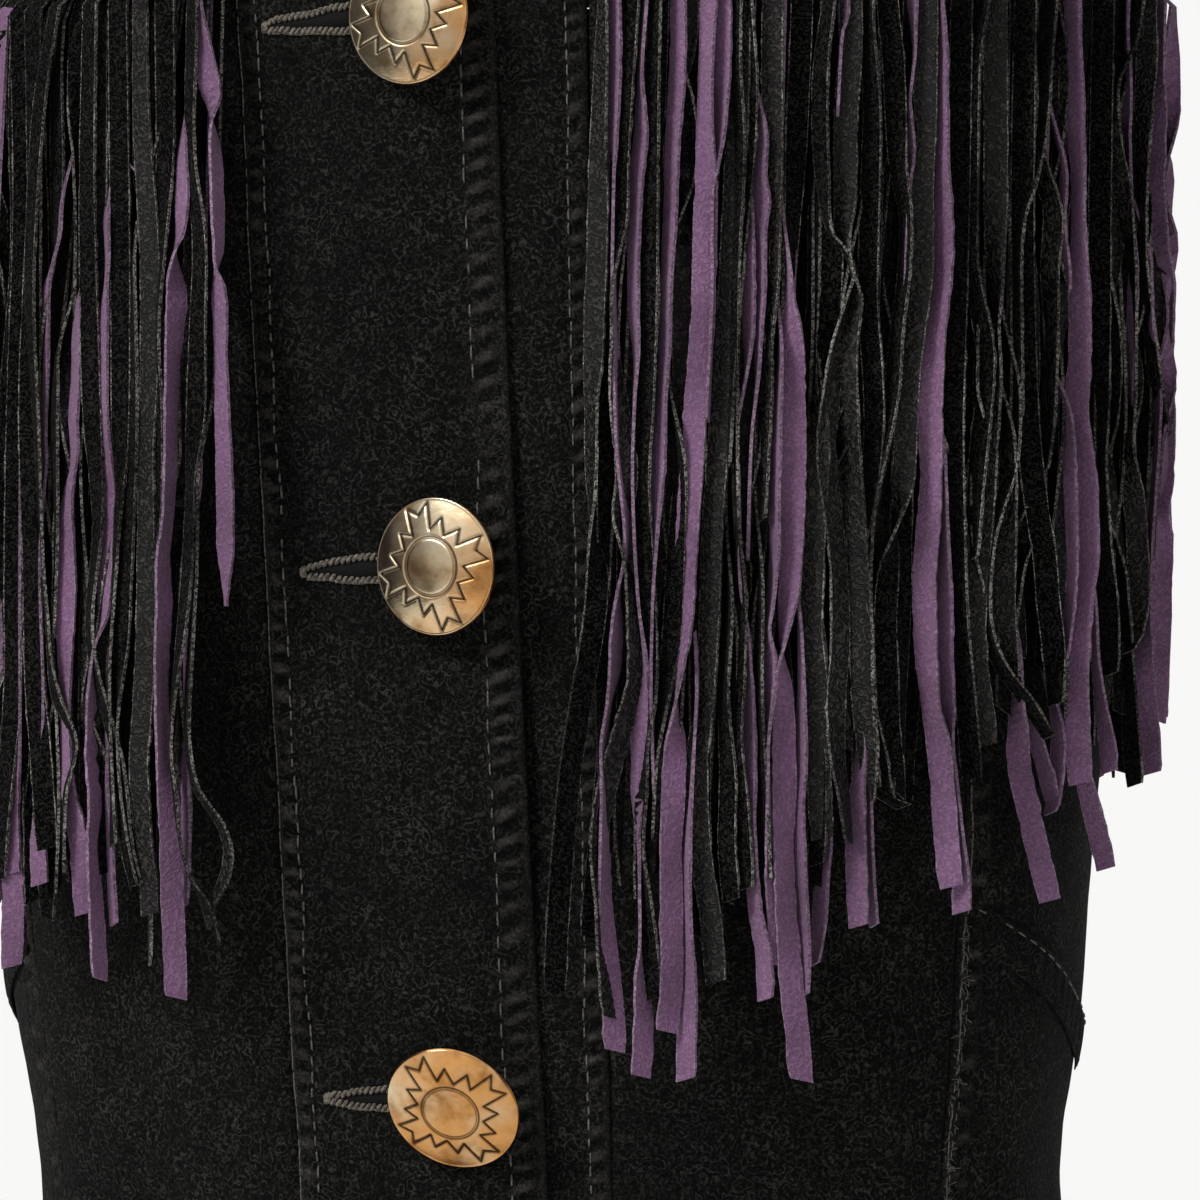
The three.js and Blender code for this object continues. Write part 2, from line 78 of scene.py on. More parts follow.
PRINCESS = (44.0, 51.0)
PLACKET = (28.0, 24.5)
UNDERLAP = 20.0
TUCK_RUN = 14.0
SIDE_FRONT = 58.0
SIDE_BACK = 115.0

NECK_HALF = 75.0
FRONT_NECK = (-66.0, 565.0)
BACK_NECK = (62.0, 625.0)
NECK_POINT = (2.0, 640.0)
TIP = (198.0, 8.0, 597.0)
FRONT_BOW = (-112.0, 510.0)
BACK_BOW = (125.0, 560.0)
NECK_SHARE = 0.425
SIDE_SHARE = 0.06
SIDE_EASE = 1.6
ARMHOLE_FRONT = 58.0
ARMHOLE_BACK = 54.0
ARMHOLE_WAIST = 165.0
TRIM = 0.002

SLEEVE_DROP = math.radians(30)
SLEEVE_LENGTH = 545.0
SLEEVE_FORWARD = 26.0
SLEEVE_BLEND = 0.3
SLEEVE = np.array([(0, 60), (0.3, 57), (0.55, 52), (0.8, 45), (1, 40.5)], float)
CUFF_LENGTH = 48.0
CUFF_PROUD = 1.2
CUFF_STITCH = 6.0

STAND_HEIGHT = 30.0
STAND_LEAN = 0.27
COLLAR_END = 0.95
COLLAR = np.array([(0, 62, 55), (0.5, 37, 54), (0.8, 57, 68), (0.95, 66, 44)], float)

# Name, height, place across, turn to the wearer's right, droop, stand-off, spin and warmth
CONCHOS = [
    ("concho_1", 532, 4, 6, 4, 4.5, 20, 0.3),
    ("concho_2", 396.7, 4.5, 14, 2, 6, 0, 0.15),
    ("concho_3", 247, 7, 15, 3, 6, 0, 0.25),
    ("concho_4", 103.7, 6, 4, 28, 10, -12, 1.15),
]
# Corners of one arm of the engraved sunburst, by turn and reach. Four arms make the whole
ARM = [(-11, 0.92), (0, 0.77), (11, 0.92), (17, 0.54), (31, 0.71), (45, 0.50), (59, 0.71), (73, 0.54)]
ARM_LEAN = -16
ZIGZAG = [(90 * arm + ARM_LEAN + turn, reach) for arm in range(4) for turn, reach in ARM]
# Left end, and the two rows' heights where they meet the concho, of each buttonhole
BUTTONHOLES = [
    ((-41.7, 396.3), -9.7, 401.0, 394.2),
    ((-35.5, 246.3), -15.4, 249.9, 243.6),
    ((-35.0, 100.7), -17.3, 103.1, 98.1),
]
SHANK_RADIUS = 2.6
CONCHO_EDGE = 0.9
CONCHO_DOME = 2.9
GROOVE_DEPTH = 0.3

WELT_START = 59.0
WELT_END = 99.0
WELT_HIGH = 153.0
WELT_FALL = 38.0
WELT_DEPTH = 13.0
WELT_RUN = 95

STRIP_BOTTOM = 411.0
STRIP_TOP = 421.0
STRIP_THICK = 1.2
STRAND_WIDTH = 6.3
STRAND_THICK = 0.85
ROOT_HEIGHT = 412.2
HANG_LEAN = 0.042
FRINGE_START = 18.5
STRIP_START = 16.2
FRINGE_LENGTH = np.array([
    (18, 262), (32, 248), (48, 222), (64, 204), (90, 200), (130, 226), (180, 278),
], float)
STRIPS = {"fringe_purple": 0.5, "fringe_black": 3.0}
REGIONS = [
    ("front_left", FRINGE_START, 88.0),
    ("back", 91.0, 269.0),
    ("front_right", 272.0, 360 - FRINGE_START),
]
FACE_TURN = math.radians(16.0)

STITCH_PITCH = 5.0
STITCH_LENGTH = 3.6
STITCH_RADIUS = 0.3


# Small helpers
def ease(x):
    x = np.clip(x, 0, 1)
    return x * x * (3 - 2 * x)


def mix(a, b, f):
    return a + (b - a) * f


def read(table, column, at):
    """One column of a table at values of its first column, on a smooth curve."""
    at = np.asarray(at, float)
    keys, vals = table[:, 0], table[:, column]
    i = np.clip(np.searchsorted(keys, at, side="right") - 1, 0, len(keys) - 2)
    low, high = i, i + 1
    before, after = np.maximum(i - 1, 0), np.minimum(i + 2, len(keys) - 1)
    run = keys[high] - keys[low]
    f = np.clip((at - keys[low]) / run, 0, 1)
    s0 = (vals[high] - vals[before]) / (keys[high] - keys[before]) * run
    s1 = (vals[after] - vals[low]) / (keys[after] - keys[low]) * run
    rise = vals[high] - vals[low]
    return vals[low] + f * (s0 + f * ((3 * rise - 2 * s0 - s1) + f * (s0 + s1 - 2 * rise)))


def waves(x, y, scale, seed, count=7):
    """Smooth repeatable unevenness from about -1 to 1, with features of one scale."""
    rng = np.random.default_rng(seed)
    total = 0
    for _ in range(count):
        turn = rng.uniform(0, 2 * math.pi)
        size = scale * rng.uniform(0.6, 1.7)
        phase = rng.uniform(0, 2 * math.pi)
        total = total + np.sin((x * math.cos(turn) + y * math.sin(turn)) * 2 * math.pi / size + phase)
    return total / math.sqrt(count)


# Body surface
def fold_at(angle, height):
    turned = (np.asarray(angle) + 180) % 360 - 180
    depth = 0
    for place, wide, deep, top in FOLDS:
        off = np.abs(turned - place)
        off = np.minimum(off, 360 - off) / wide
        depth = depth + deep * np.exp(-off * off) * ease(1 - np.asarray(height) / top)
    return depth


def body_point(angle, height, out=0.0):
    grow = out + fold_at(angle, height)
    a = read(BODY, 1, height) + grow
    b = read(BODY, 2, height) + grow
    t = np.radians(angle)
    z = np.asarray(height) + 0 * t - BODY_LENGTH
    return np.stack([a * np.sin(t), -b * np.cos(t), z], -1)


def body_out(angle):
    t = np.radians(angle)
    n = np.stack([np.sin(t) / 1.55, -np.cos(t), 0 * t], -1)
    return n / np.linalg.norm(n, axis=-1, keepdims=True)


def angle_across(across, height):
    return np.degrees(np.arcsin(across / read(BODY, 1, height)))


def princess_angle(height):
    return angle_across(mix(*PRINCESS, np.asarray(height) / YOKE_HEIGHT), height)


def placket_across(height):
    return mix(*PLACKET, np.asarray(height) / YOKE_HEIGHT)


def placket_angle(height):
    return angle_across(placket_across(height), height)


def tuck_at(across, height=YOKE_HEIGHT):
    return (CLOTH + GAP) * (1 - ease((across - placket_across(height) - 1.5) / TUCK_RUN))


def arc_speed(angle, height):
    t = np.radians(angle)
    a, b = read(BODY, 1, height), read(BODY, 2, height)
    return np.sqrt((a * np.cos(t)) ** 2 + (b * np.sin(t)) ** 2) * math.pi / 180


# Upper body surface
def armhole_point(angle):
    t = np.radians(angle)
    rise = (1 - np.cos(t)) / 2
    height = mix(UNDERARM, TIP[2], rise)
    depth = np.where(t > 0, ARMHOLE_FRONT, ARMHOLE_BACK)
    start = float(read(BODY, 1, UNDERARM))
    across = mix(start, TIP[0], rise * rise) - (start - ARMHOLE_WAIST) * 4 * rise * (1 - rise)
    return np.stack([across, TIP[1] * rise - depth * np.sin(t), height - BODY_LENGTH], -1)


def neck_or_shoulder(p, neck):
    s = np.clip(p / NECK_SHARE, 0, 1) * math.pi / 2
    f = 1 - np.cos(s)
    neck_line = np.stack([
        NECK_HALF * np.sin(s),
        mix(neck[0], NECK_POINT[0], f),
        mix(neck[1], NECK_POINT[1], f),
    ], -1)
    g = np.clip((p - NECK_SHARE) / (1 - NECK_SHARE), 0, 1)
    shoulder = np.stack([
        mix(NECK_HALF, TIP[0], g),
        mix(NECK_POINT[0], TIP[1], g),
        mix(NECK_POINT[1], TIP[2], g),
    ], -1)
    point = np.where((p <= NECK_SHARE)[..., None], neck_line, shoulder)
    return point - np.array([0, 0, BODY_LENGTH])


def bow_line(start, bow, end, v):
    y = mix(mix(start[0], bow[0], v), mix(bow[0], end[0], v), v)
    z = mix(mix(start[1], bow[1], v), mix(bow[1], end[1], v), v)
    return np.stack([0 * v, y, z - BODY_LENGTH], -1)


def upper_surface(front):
    neck, bow = (FRONT_NECK, FRONT_BOW) if front else (BACK_NECK, BACK_BOW)
    turn = 1 if front else -1
    seam = (float(body_point(0.0 if front else 180.0, YOKE_HEIGHT)[1]), YOKE_HEIGHT)

    def bottom(p):
        return body_point(90 * p if front else 180 - 90 * p, YOKE_HEIGHT)

    def side(v):
        loop = armhole_point(turn * 180 * np.clip((v - SIDE_SHARE) / (1 - SIDE_SHARE), 1e-6, 1))
        flank = body_point(90 + 0 * v, mix(YOKE_HEIGHT, UNDERARM, np.clip(v / SIDE_SHARE, 0, 1)))
        return np.where((v > SIDE_SHARE)[..., None], loop, flank)

    def surface(across, v):
        across, v = np.broadcast_arrays(np.asarray(across, float), np.asarray(v, float))
        p = np.abs(across)
        s, q = (p ** SIDE_EASE)[..., None], v[..., None]
        one, none = np.ones_like(p), np.zeros_like(p)
        point = (1 - q) * bottom(p) + q * neck_or_shoulder(p, neck)
        point = point + (1 - s) * bow_line(seam, bow, neck, v) + s * side(v)
        point = point - (1 - s) * ((1 - q) * bottom(none) + q * neck_or_shoulder(none, neck))
        point = point - s * ((1 - q) * bottom(one) + q * neck_or_shoulder(one, neck))
        point[..., 0] *= np.where(across < 0, -1, 1)
        return point

    return surface


def upper_normal(surface, front):
    turn = 1 if front else -1

    def normal(p, v):
        p, v = np.broadcast_arrays(np.asarray(p, float), np.asarray(v, float))
        step = 0.004
        right = surface(np.minimum(p + step, 1), v) - surface(np.maximum(p - step, -1), v)
        rise = surface(p, np.minimum(v + step, 1)) - surface(p, np.maximum(v - step, 0))
        n = np.cross(right, rise) * turn
        n /= np.maximum(np.linalg.norm(n, axis=-1, keepdims=True), 1e-9)
        t = np.radians(90 * p)
        level = np.stack([np.sin(t) / 1.25, -np.cos(t) * turn, 0 * t], -1)
        level /= np.linalg.norm(level, axis=-1, keepdims=True)
        underarm = (1 - ease((v - 0.1) / 0.2)) * ease((np.abs(p) - 0.8) / 0.15)
        n = mix(n, level, np.maximum(1 - ease(v / 0.15), underarm)[..., None])
        ridge = ease((v - 0.8) / 0.2) * ease((np.abs(p) - NECK_SHARE) / 0.12 + 1)
        up = np.stack([0.33 * np.sign(p), 0 * p, 0.94 + 0 * p], -1)
        n = mix(n, up, ridge[..., None])
        return n / np.linalg.norm(n, axis=-1, keepdims=True)

    return normal


# Sleeve and collar surfaces, on the wearer's left
SLEEVE_ALONG = np.array([math.cos(SLEEVE_DROP), 0, -math.sin(SLEEVE_DROP)])
SLEEVE_DOWN = np.array([-math.sin(SLEEVE_DROP), 0, -math.cos(SLEEVE_DROP)])
ARMHOLE_CENTRE = np.array([170.0, 0, (UNDERARM + TIP[2]) / 2 - BODY_LENGTH])


def sleeve_ring(angle, share, out):
    t = np.radians(angle)[..., None]
    share = np.asarray(share, float)[..., None]
    radius = read(SLEEVE, 1, share) + np.asarray(out)[..., None]
    point = ARMHOLE_CENTRE + SLEEVE_ALONG * share * SLEEVE_LENGTH + SLEEVE_DOWN * radius * np.cos(t)
    point[..., 1] -= (radius * np.sin(t) + SLEEVE_FORWARD * share * share)[..., 0]
    return point


def sleeve_point(angle, share, out):
    angle, share, out = np.broadcast_arrays(angle, share, out)
    angle = angle % 360
    loop = armhole_point(np.where(angle > 180, angle - 360, angle) + 1e-6)
    heart = np.stack([loop[..., 0], TIP[1] / 2 + 0 * share, ARMHOLE_CENTRE[2] + 0 * share], -1)
    inward = heart - loop
    inward /= np.linalg.norm(inward, axis=-1, keepdims=True)
    loop = loop - inward * out[..., None]
    loop[..., 0] += GAP * 2 - 2.2 * np.exp(-((share * SLEEVE_LENGTH / 2.0) ** 2))
    loop = loop + SLEEVE_ALONG * share[..., None] * SLEEVE_LENGTH
    return mix(loop, sleeve_ring(angle, share, out), ease(share / SLEEVE_BLEND)[..., None])


def neck_point(share):
    s = np.abs(share)
    front = neck_or_shoulder(NECK_SHARE * (1 - s) * 2 * (s > 0.5), FRONT_NECK)
    back = neck_or_shoulder(NECK_SHARE * np.minimum(s, 0.5) * 2, BACK_NECK)
    point = np.where((s > 0.5)[..., None], front, back)
    point[..., 0] *= np.where(share < 0, -1, 1)
    return point


def stand_point(share, v, out):
    share, v, out = np.broadcast_arrays(np.asarray(share, float), v, out)
    point = neck_point(share)
    away = point + np.array([0, 2, 0])
    away[..., 2] = 0
    away /= np.linalg.norm(away, axis=-1, keepdims=True)
    point = point + away * (out - STAND_LEAN * STAND_HEIGHT * v)[..., None]
    point[..., 2] += STAND_HEIGHT * v + GAP
    return point


# Meshes
def link(obj, replaces=()):
    bpy.context.scene.collection.objects.link(obj)
    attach(obj, "root")
    if replaces:
        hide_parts(*replaces)
    return obj


def mesh_object(name, points, quads, materials, uv=None, faces_of=None, smooth=True):
    """An object from points in millimetres, with faces of three or four corners."""
    mesh = bpy.data.meshes.new(name)
    quads = np.asarray(quads, np.int32)
    size = quads.shape[1]
    mesh.vertices.add(len(points))
    mesh.vertices.foreach_set("co", (np.asarray(points, float) * MM).ravel())
    mesh.loops.add(quads.size)
    mesh.loops.foreach_set("vertex_index", quads.ravel())
    mesh.polygons.add(len(quads))
    mesh.polygons.foreach_set("loop_start", np.arange(0, quads.size, size, dtype=np.int32))
    if uv is not None:
        layer = mesh.uv_layers.new(name="cloth")
        layer.data.foreach_set("uv", (np.asarray(uv, float) * MM)[quads.ravel()].ravel())
    for material in materials:
        mesh.materials.append(material)
    if faces_of is not None:
        mesh.polygons.foreach_set("material_index", np.asarray(faces_of, np.int32))
    mesh.polygons.foreach_set("use_smooth", np.full(len(quads), smooth))
    mesh.update(calc_edges=True)
    mesh.validate()
    return bpy.data.objects.new(name, mesh)


def grid_quads(rows, wide, closed=False, start=0):
    j, i = np.meshgrid(np.arange(rows - 1), np.arange(wide if closed else wide - 1), indexing="ij")
    k = (i + 1) % wide
    corners = [j * wide + i, j * wide + k, (j + 1) * wide + k, (j + 1) * wide + i]
    return (start + np.stack(corners, -1)).reshape(-1, 4)


def shell(name, outer, inner, uv, material, closed=False, flip=False, wear_and_painted_light=None):
    """A closed wall between two grids of points, joined at their edges."""
    rows, wide = outer.shape[:2]
    half = rows * wide
    quads = [grid_quads(rows, wide, closed), grid_quads(rows, wide, closed, half)[:, ::-1]]
    edge = np.arange(wide if closed else wide - 1)
    after = (edge + 1) % wide
    top = (rows - 1) * wide
    quads.append(np.stack([edge, half + edge, half + after, after], -1))
    quads.append(np.stack([top + after, half + top + after, half + top + edge, top + edge], -1))
    if not closed:
        low = np.arange(rows - 1) * wide
        high = low + wide
        quads.append(np.stack([low, high, half + high, half + low], -1))
        low, high = low + wide - 1, high + wide - 1
        quads.append(np.stack([high, low, half + low, half + high], -1))
    quads = np.concatenate(quads)
    if flip:
        quads = quads[:, ::-1]
    points = np.concatenate([outer.reshape(-1, 3), inner.reshape(-1, 3)])
    uv = np.concatenate([uv.reshape(-1, 2), uv.reshape(-1, 2)])
    obj = mesh_object(name, points, quads, [material], uv)
    # The outer face carries the edge wear with its painted highlight and shade, the inner face none
    if wear_and_painted_light is not None:
        value = np.concatenate([wear_and_painted_light.ravel(), 0 * wear_and_painted_light.ravel()])
        obj.data.attributes.new("wear_and_painted_light", "FLOAT", "POINT").data.foreach_set("value", value)
    return obj


# Materials
def new_material(name, **inputs):
    material = bpy.data.materials.new(name)
    material.use_nodes = True
    shader = material.node_tree.nodes["Principled BSDF"]
    for key, value in inputs.items():
        shader.inputs[key.replace("_", " ")].default_value = value
    return material, material.node_tree, shader


def node(tree, kind, **values):
    made = tree.nodes.new(kind)
    for key, value in values.items():
        if key in made.inputs:
            made.inputs[key].default_value = value
        else:
            setattr(made, key, value)
    return made


def noise(tree, vector, scale, detail=3.0, rough=0.6, stretch=None):
    made = node(tree, "ShaderNodeTexNoise", Scale=scale, Detail=detail, Roughness=rough)
    if stretch:
        mapping = node(tree, "ShaderNodeMapping")
        mapping.inputs["Scale"].default_value = stretch
        tree.links.new(vector, mapping.inputs["Vector"])
        vector = mapping.outputs["Vector"]
    tree.links.new(vector, made.inputs["Vector"])
    return made.outputs["Fac"]


def ramp(tree, value, stops):
    made = node(tree, "ShaderNodeValToRGB")
    elements = made.color_ramp.elements
    while len(elements) < len(stops):
        elements.new(0.5)
    for element, (place, colour) in zip(elements, stops):
        element.position = place
        element.color = (*colour, 1)
    tree.links.new(value, made.inputs["Fac"])
    return made.outputs["Color"]


def blend(tree, first, second, factor, how="MIX"):
    made = node(tree, "ShaderNodeMix", data_type="RGBA", blend_type=how)
    for index, value in ((0, factor), (6, first), (7, second)):
        if isinstance(value, (int, float)):
            made.inputs[index].default_value = value
        elif isinstance(value, tuple):
            made.inputs[index].default_value = (*value, 1)
        else:
            tree.links.new(value, made.inputs[index])
    return made.outputs[2]


def maths(tree, how, first, second=0.0, third=0.0):
    made = node(tree, "ShaderNodeMath", operation=how)
    for index, value in enumerate((first, second, third)):
        if isinstance(value, (int, float)):
            made.inputs[index].default_value = value
        else:
            tree.links.new(value, made.inputs[index])
    return made.outputs[0]


def bump(tree, shader, height, strength, distance):
    made = node(tree, "ShaderNodeBump", Strength=strength, Distance=distance)
    tree.links.new(height, made.inputs["Height"])
    tree.links.new(made.outputs["Normal"], shader.inputs["Normal"])


def curls(tree, place, scale, bands, sharp):
    """Fine curling lines, as in a brushed or crinkled face."""
    swirl = noise(tree, place, scale, 2.5, 0.55)
    wave = maths(tree, "ABSOLUTE", maths(tree, "SINE", maths(tree, "MULTIPLY", swirl, bands)))
    return maths(tree, "POWER", wave, sharp)


def denim_material():
    material, tree, shader = new_material(
        "worn_black_denim", Roughness=0.95, Specular_IOR_Level=0.08, Sheen_Weight=0.025, Sheen_Roughness=0.5,
    )
    solid = node(tree, "ShaderNodeTexCoord").outputs["Object"]
    wear_and_painted_light = node(tree, "ShaderNodeAttribute", attribute_name="wear_and_painted_light").outputs["Fac"]
    curl = curls(tree, solid, 180.0, 24.0, 6.0)
    fuzz = noise(tree, solid, 1150.0, 5.0, 0.75)
    patch = noise(tree, solid, 90.0, 3.0, 0.65)
    cloud = noise(tree, solid, 20.0, 3.0, 0.6)
    worn = maths(tree, "MULTIPLY", curl, maths(tree, "MULTIPLY", patch, maths(tree, "MULTIPLY", fuzz, 3.0)))
    tone = ramp(tree, worn, [
        (0.05, (0.0026, 0.0026, 0.0024)),
        (0.45, (0.0085, 0.0083, 0.0076)),
        (1.0, (0.040, 0.0392, 0.0360)),
    ])
    hairs = ramp(tree, fuzz, [(0.50, (0, 0, 0)), (0.72, (0.032, 0.031, 0.029))])
    tone = blend(tree, tone, hairs, 1.0, "ADD")
    shade = ramp(tree, cloud, [(0.3, (0.66, 0.66, 0.68)), (0.7, (1.12, 1.10, 1.06))])
    tone = blend(tree, tone, shade, 1.0, "MULTIPLY")
    # Puffs and rolled edges lighter: wear, and a painted highlight on the puffs
    rubbed_and_highlighted = maths(tree, "MULTIPLY", wear_and_painted_light, maths(tree, "ADD", maths(tree, "MULTIPLY", fuzz, 2.4), -0.55))
    tone = blend(tree, tone, (0.080, 0.076, 0.068), rubbed_and_highlighted)
    # Painted shade in the hollows between the puffs
    tone = blend(tree, tone, (0.0012, 0.0012, 0.0012), maths(tree, "MULTIPLY", wear_and_painted_light, -0.85))
    tree.links.new(tone, shader.inputs["Base Color"])
    bump(tree, shader, maths(tree, "ADD", maths(tree, "MULTIPLY", curl, 0.4), fuzz), 0.6, 0.0004)
    return material


def strand_material(name, low, high, roughness, specular, sheen, grain, strength,
                    painted_crease_sheen=0.05, uneven=0.22):
    """Leather: fine mottling under curling creases.

    The grain is in features a metre, the strength is of the bump, the argument after it sets
    a painted highlight along the creases, and the last one gives broad patches of tone.
    """
    material, tree, shader = new_material(
        name, Roughness=roughness, Specular_IOR_Level=specular, Sheen_Weight=sheen, Sheen_Roughness=0.5,
    )
    solid = node(tree, "ShaderNodeTexCoord").outputs["Object"]
    fine = noise(tree, solid, grain, 4.0, 0.75)
    crease = curls(tree, solid, grain * 0.26, 22.0, 4.0)
    broad = noise(tree, solid, 30.0, 2.0, 0.5)
    mixed = maths(tree, "ADD", maths(tree, "MULTIPLY", fine, 0.75), maths(tree, "MULTIPLY", crease, 0.22))
    tone = ramp(tree, mixed, [(0.3, low), (0.66, high)])
    shade = ramp(tree, broad, [(0.33, (1 - uneven,) * 3), (0.67, (1 + uneven,) * 3)])
    # Painted highlight along the creases, the leather between them a little darker
    lines = maths(tree, "ADD", maths(tree, "MULTIPLY", crease, painted_crease_sheen), 1 - 0.375 * painted_crease_sheen)
    tone = blend(tree, tone, lines, 1.0, "MULTIPLY")
    tree.links.new(blend(tree, tone, shade, 1.0, "MULTIPLY"), shader.inputs["Base Color"])
    bump(tree, shader, maths(tree, "ADD", maths(tree, "MULTIPLY", crease, 0.7), fine), strength, 0.0006)
    return material


def thread_material(name, colour, dark):
    material, tree, shader = new_material(name, Roughness=0.85, Specular_IOR_Level=0.2, Sheen_Weight=0.1)
    solid = node(tree, "ShaderNodeTexCoord").outputs["Object"]
    fine = noise(tree, solid, 1100.0, 3.0, 0.7)
    tree.links.new(ramp(tree, fine, [(0.38, dark), (0.62, colour)]), shader.inputs["Base Color"])
    bump(tree, shader, fine, 0.6, 0.0002)
    return material


def brass_material():
    material, tree, shader = new_material("engraved_brass", Metallic=1.0)
    solid = node(tree, "ShaderNodeTexCoord").outputs["Object"]
    groove = node(tree, "ShaderNodeAttribute", attribute_name="groove").outputs["Fac"]
    copper_and_painted_reflection = node(tree, "ShaderNodeAttribute", attribute_name="copper_and_painted_reflection").outputs["Fac"]
    broad = noise(tree, solid, 110.0, 3.0, 0.6)
    fine = noise(tree, solid, 700.0, 5.0, 0.75)
    scratch = noise(tree, solid, 240.0, 4.0, 0.8, (1.0, 1.0, 5.0))
    golden = noise(tree, solid, 75.0, 2.0, 0.5)
    # Copper share: each concho's warmth and a painted reflection from the attribute, with random patches
    copper_and_painted_reflection = maths(tree, "ADD", copper_and_painted_reflection, maths(tree, "MULTIPLY", maths(tree, "ADD", golden, -0.5), 2.0))
    tone = blend(tree, (0.98, 0.83, 0.58), (0.85, 0.43, 0.15), copper_and_painted_reflection)
    patina = ramp(tree, broad, [
        (0.30, (0.52, 0.42, 0.31)),
        (0.48, (0.9, 0.87, 0.82)),
        (0.6, (1.0, 1.0, 1.0)),
    ])
    tone = blend(tree, tone, patina, 1.0, "MULTIPLY")
    # Painted shade in the engraved grooves: near black, a little uneven
    painted_groove_shade = maths(tree, "MULTIPLY", groove, maths(tree, "ADD", 0.8, maths(tree, "MULTIPLY", fine, 0.5)))
    tone = blend(tree, tone, (0.022, 0.015, 0.009), painted_groove_shade)
    tree.links.new(tone, shader.inputs["Base Color"])
    worn = maths(tree, "ADD", 0.08, maths(tree, "MULTIPLY", scratch, 0.22))
    tree.links.new(maths(tree, "ADD", worn, maths(tree, "MULTIPLY", groove, 0.4)), shader.inputs["Roughness"])
    bump(tree, shader, maths(tree, "ADD", scratch, maths(tree, "MULTIPLY", fine, 0.5)), 0.12, 0.0002)
    return material


DENIM = denim_material()
BLACK_GRAIN = strand_material(
    "black_leather_grain", (0.0026, 0.0024, 0.0021), (0.0235, 0.0222, 0.0196),
    0.42, 0.26, 0.0, 900.0, 0.9, 1.9)
BLACK_SUEDE = strand_material(
    "black_suede", (0.0018, 0.0018, 0.0017), (0.0125, 0.0120, 0.0112),
    1.0, 0.04, 0.02, 1150.0, 0.7, 1.7)
CUT_EDGE = strand_material(
    "cut_leather_edge", (0.006, 0.0057, 0.0051), (0.27, 0.257, 0.231),
    0.9, 0.1, 0.0, 1200.0, 0.6, 0.4, 0.7)
PURPLE = strand_material(
    "purple_suede", (0.190, 0.101, 0.184), (0.292, 0.160, 0.284),
    0.95, 0.1, 0.12, 1000.0, 0.5)
PURPLE_EDGE = strand_material(
    "purple_suede_edge", (0.14, 0.085, 0.135), (0.40, 0.27, 0.385),
    0.95, 0.1, 0.12, 1000.0, 0.5)
THREAD = thread_material("pale_topstitch_thread", (0.215, 0.20, 0.17), (0.07, 0.065, 0.056))
CORD = thread_material("buttonhole_thread", (0.27, 0.235, 0.19), (0.05, 0.043, 0.035))
SLIT_SHADE = thread_material("painted_slit_shade", (0.003, 0.003, 0.003), (0.001, 0.001, 0.001))
BRASS = brass_material()


# Stitches: small rounded grains laid along a line of points
def stitch_points(line, normals, length, radius, sides=5, aside=0.0):
    """Template rings of one stitch laid along each span of a line."""
    rings = [(-0.5, 0.35, -0.45), (-0.3, 0.95, 0.1), (0.3, 0.95, 0.1), (0.5, 0.35, -0.45)]
    start, end = line
    along = end - start
    along /= np.linalg.norm(along, axis=-1, keepdims=True)
    beside = np.cross(normals, along)
    beside /= np.linalg.norm(beside, axis=-1, keepdims=True)
    centre = (start + end) / 2 + beside * np.broadcast_to(aside, len(start))[:, None]
    length = np.broadcast_to(length, len(start))[:, None]
    points = []
    for place, size, lift in rings:
        for k in range(sides):
            turn = 2 * math.pi * k / sides
            points.append(
                centre + along * place * length
                + normals * (lift * radius + radius * size * math.cos(turn))
                + beside * radius * size * math.sin(turn)
            )
    return np.stack(points, 1)


def stitch_faces(count, sides=5, rings=4):
    quads = []
    for r in range(rings - 1):
        for k in range(sides):
            a, b = r * sides + k, r * sides + (k + 1) % sides
            quads.append((a, b, b + sides, a + sides))
    quads = np.array(quads)
    return (quads[None] + (np.arange(count) * sides * rings)[:, None, None]).reshape(-1, 4)


STITCHES = []


def lay_stitches(points, normals, pitch=STITCH_PITCH, length=STITCH_LENGTH, radius=STITCH_RADIUS, stray=0.28):
    """Stitches a little uneven in place and length along a dense line of points."""
    points, normals = np.asarray(points, float), np.asarray(normals, float)
    steps = np.linalg.norm(np.diff(points, axis=0), axis=1)
    far = np.concatenate([[0], np.cumsum(steps)])
    starts = np.arange(pitch * 0.3, far[-1] - length * 1.3, pitch)
    if not len(starts):
        return
    rng = np.random.default_rng(len(STITCHES) + 5)
    starts = starts + pitch * 0.08 * rng.normal(0, 1, len(starts))
    runs = length * (1 + 0.14 * rng.normal(0, 1, len(starts)))
    keep = rng.random(len(starts)) > 0.05
    starts, runs = starts[keep], runs[keep]

    def at(rows, d):
        return np.stack([np.interp(d, far, rows[:, k]) for k in range(3)], -1)

    first, last = at(points, starts), at(points, starts + runs)
    normal = at(normals, starts + runs / 2)
    normal /= np.linalg.norm(normal, axis=-1, keepdims=True)
    aside = stray * (waves(starts, 0 * starts, 38, len(STITCHES) + 3) + 0.4 * rng.normal(0, 1, len(starts)))
    STITCHES.append(stitch_points((first, last), normal, runs, radius, aside=aside))


def finish_stitches(name, material):
    sets = [s.reshape(-1, 3) for s in STITCHES]
    count = sum(len(s) for s in STITCHES)
    obj = mesh_object(name, np.concatenate(sets), stitch_faces(count), [material])
    STITCHES.clear()
    return link(obj)


# Panels of the body
WAIST_HEIGHT = 200.0
SEAM_STITCH = 6.4
PLACKET_STITCH = 10.0
HEM_STITCH = 12.0
HEM_TOP = 30.0


def spaced(width, near, far, step):
    """Places across a width, close together at the listed distances from each edge."""
    left = [d for d in near if d < width / 2]
    right = [width - d for d in far if d < width / 2]
    start, end = left[-1], right[-1]
    count = max(int(math.ceil((end - start) / step)), 1)
    middle = list(np.linspace(start, end, count + 1))[1:-1]
    return np.array(left + middle + right[::-1]) / width


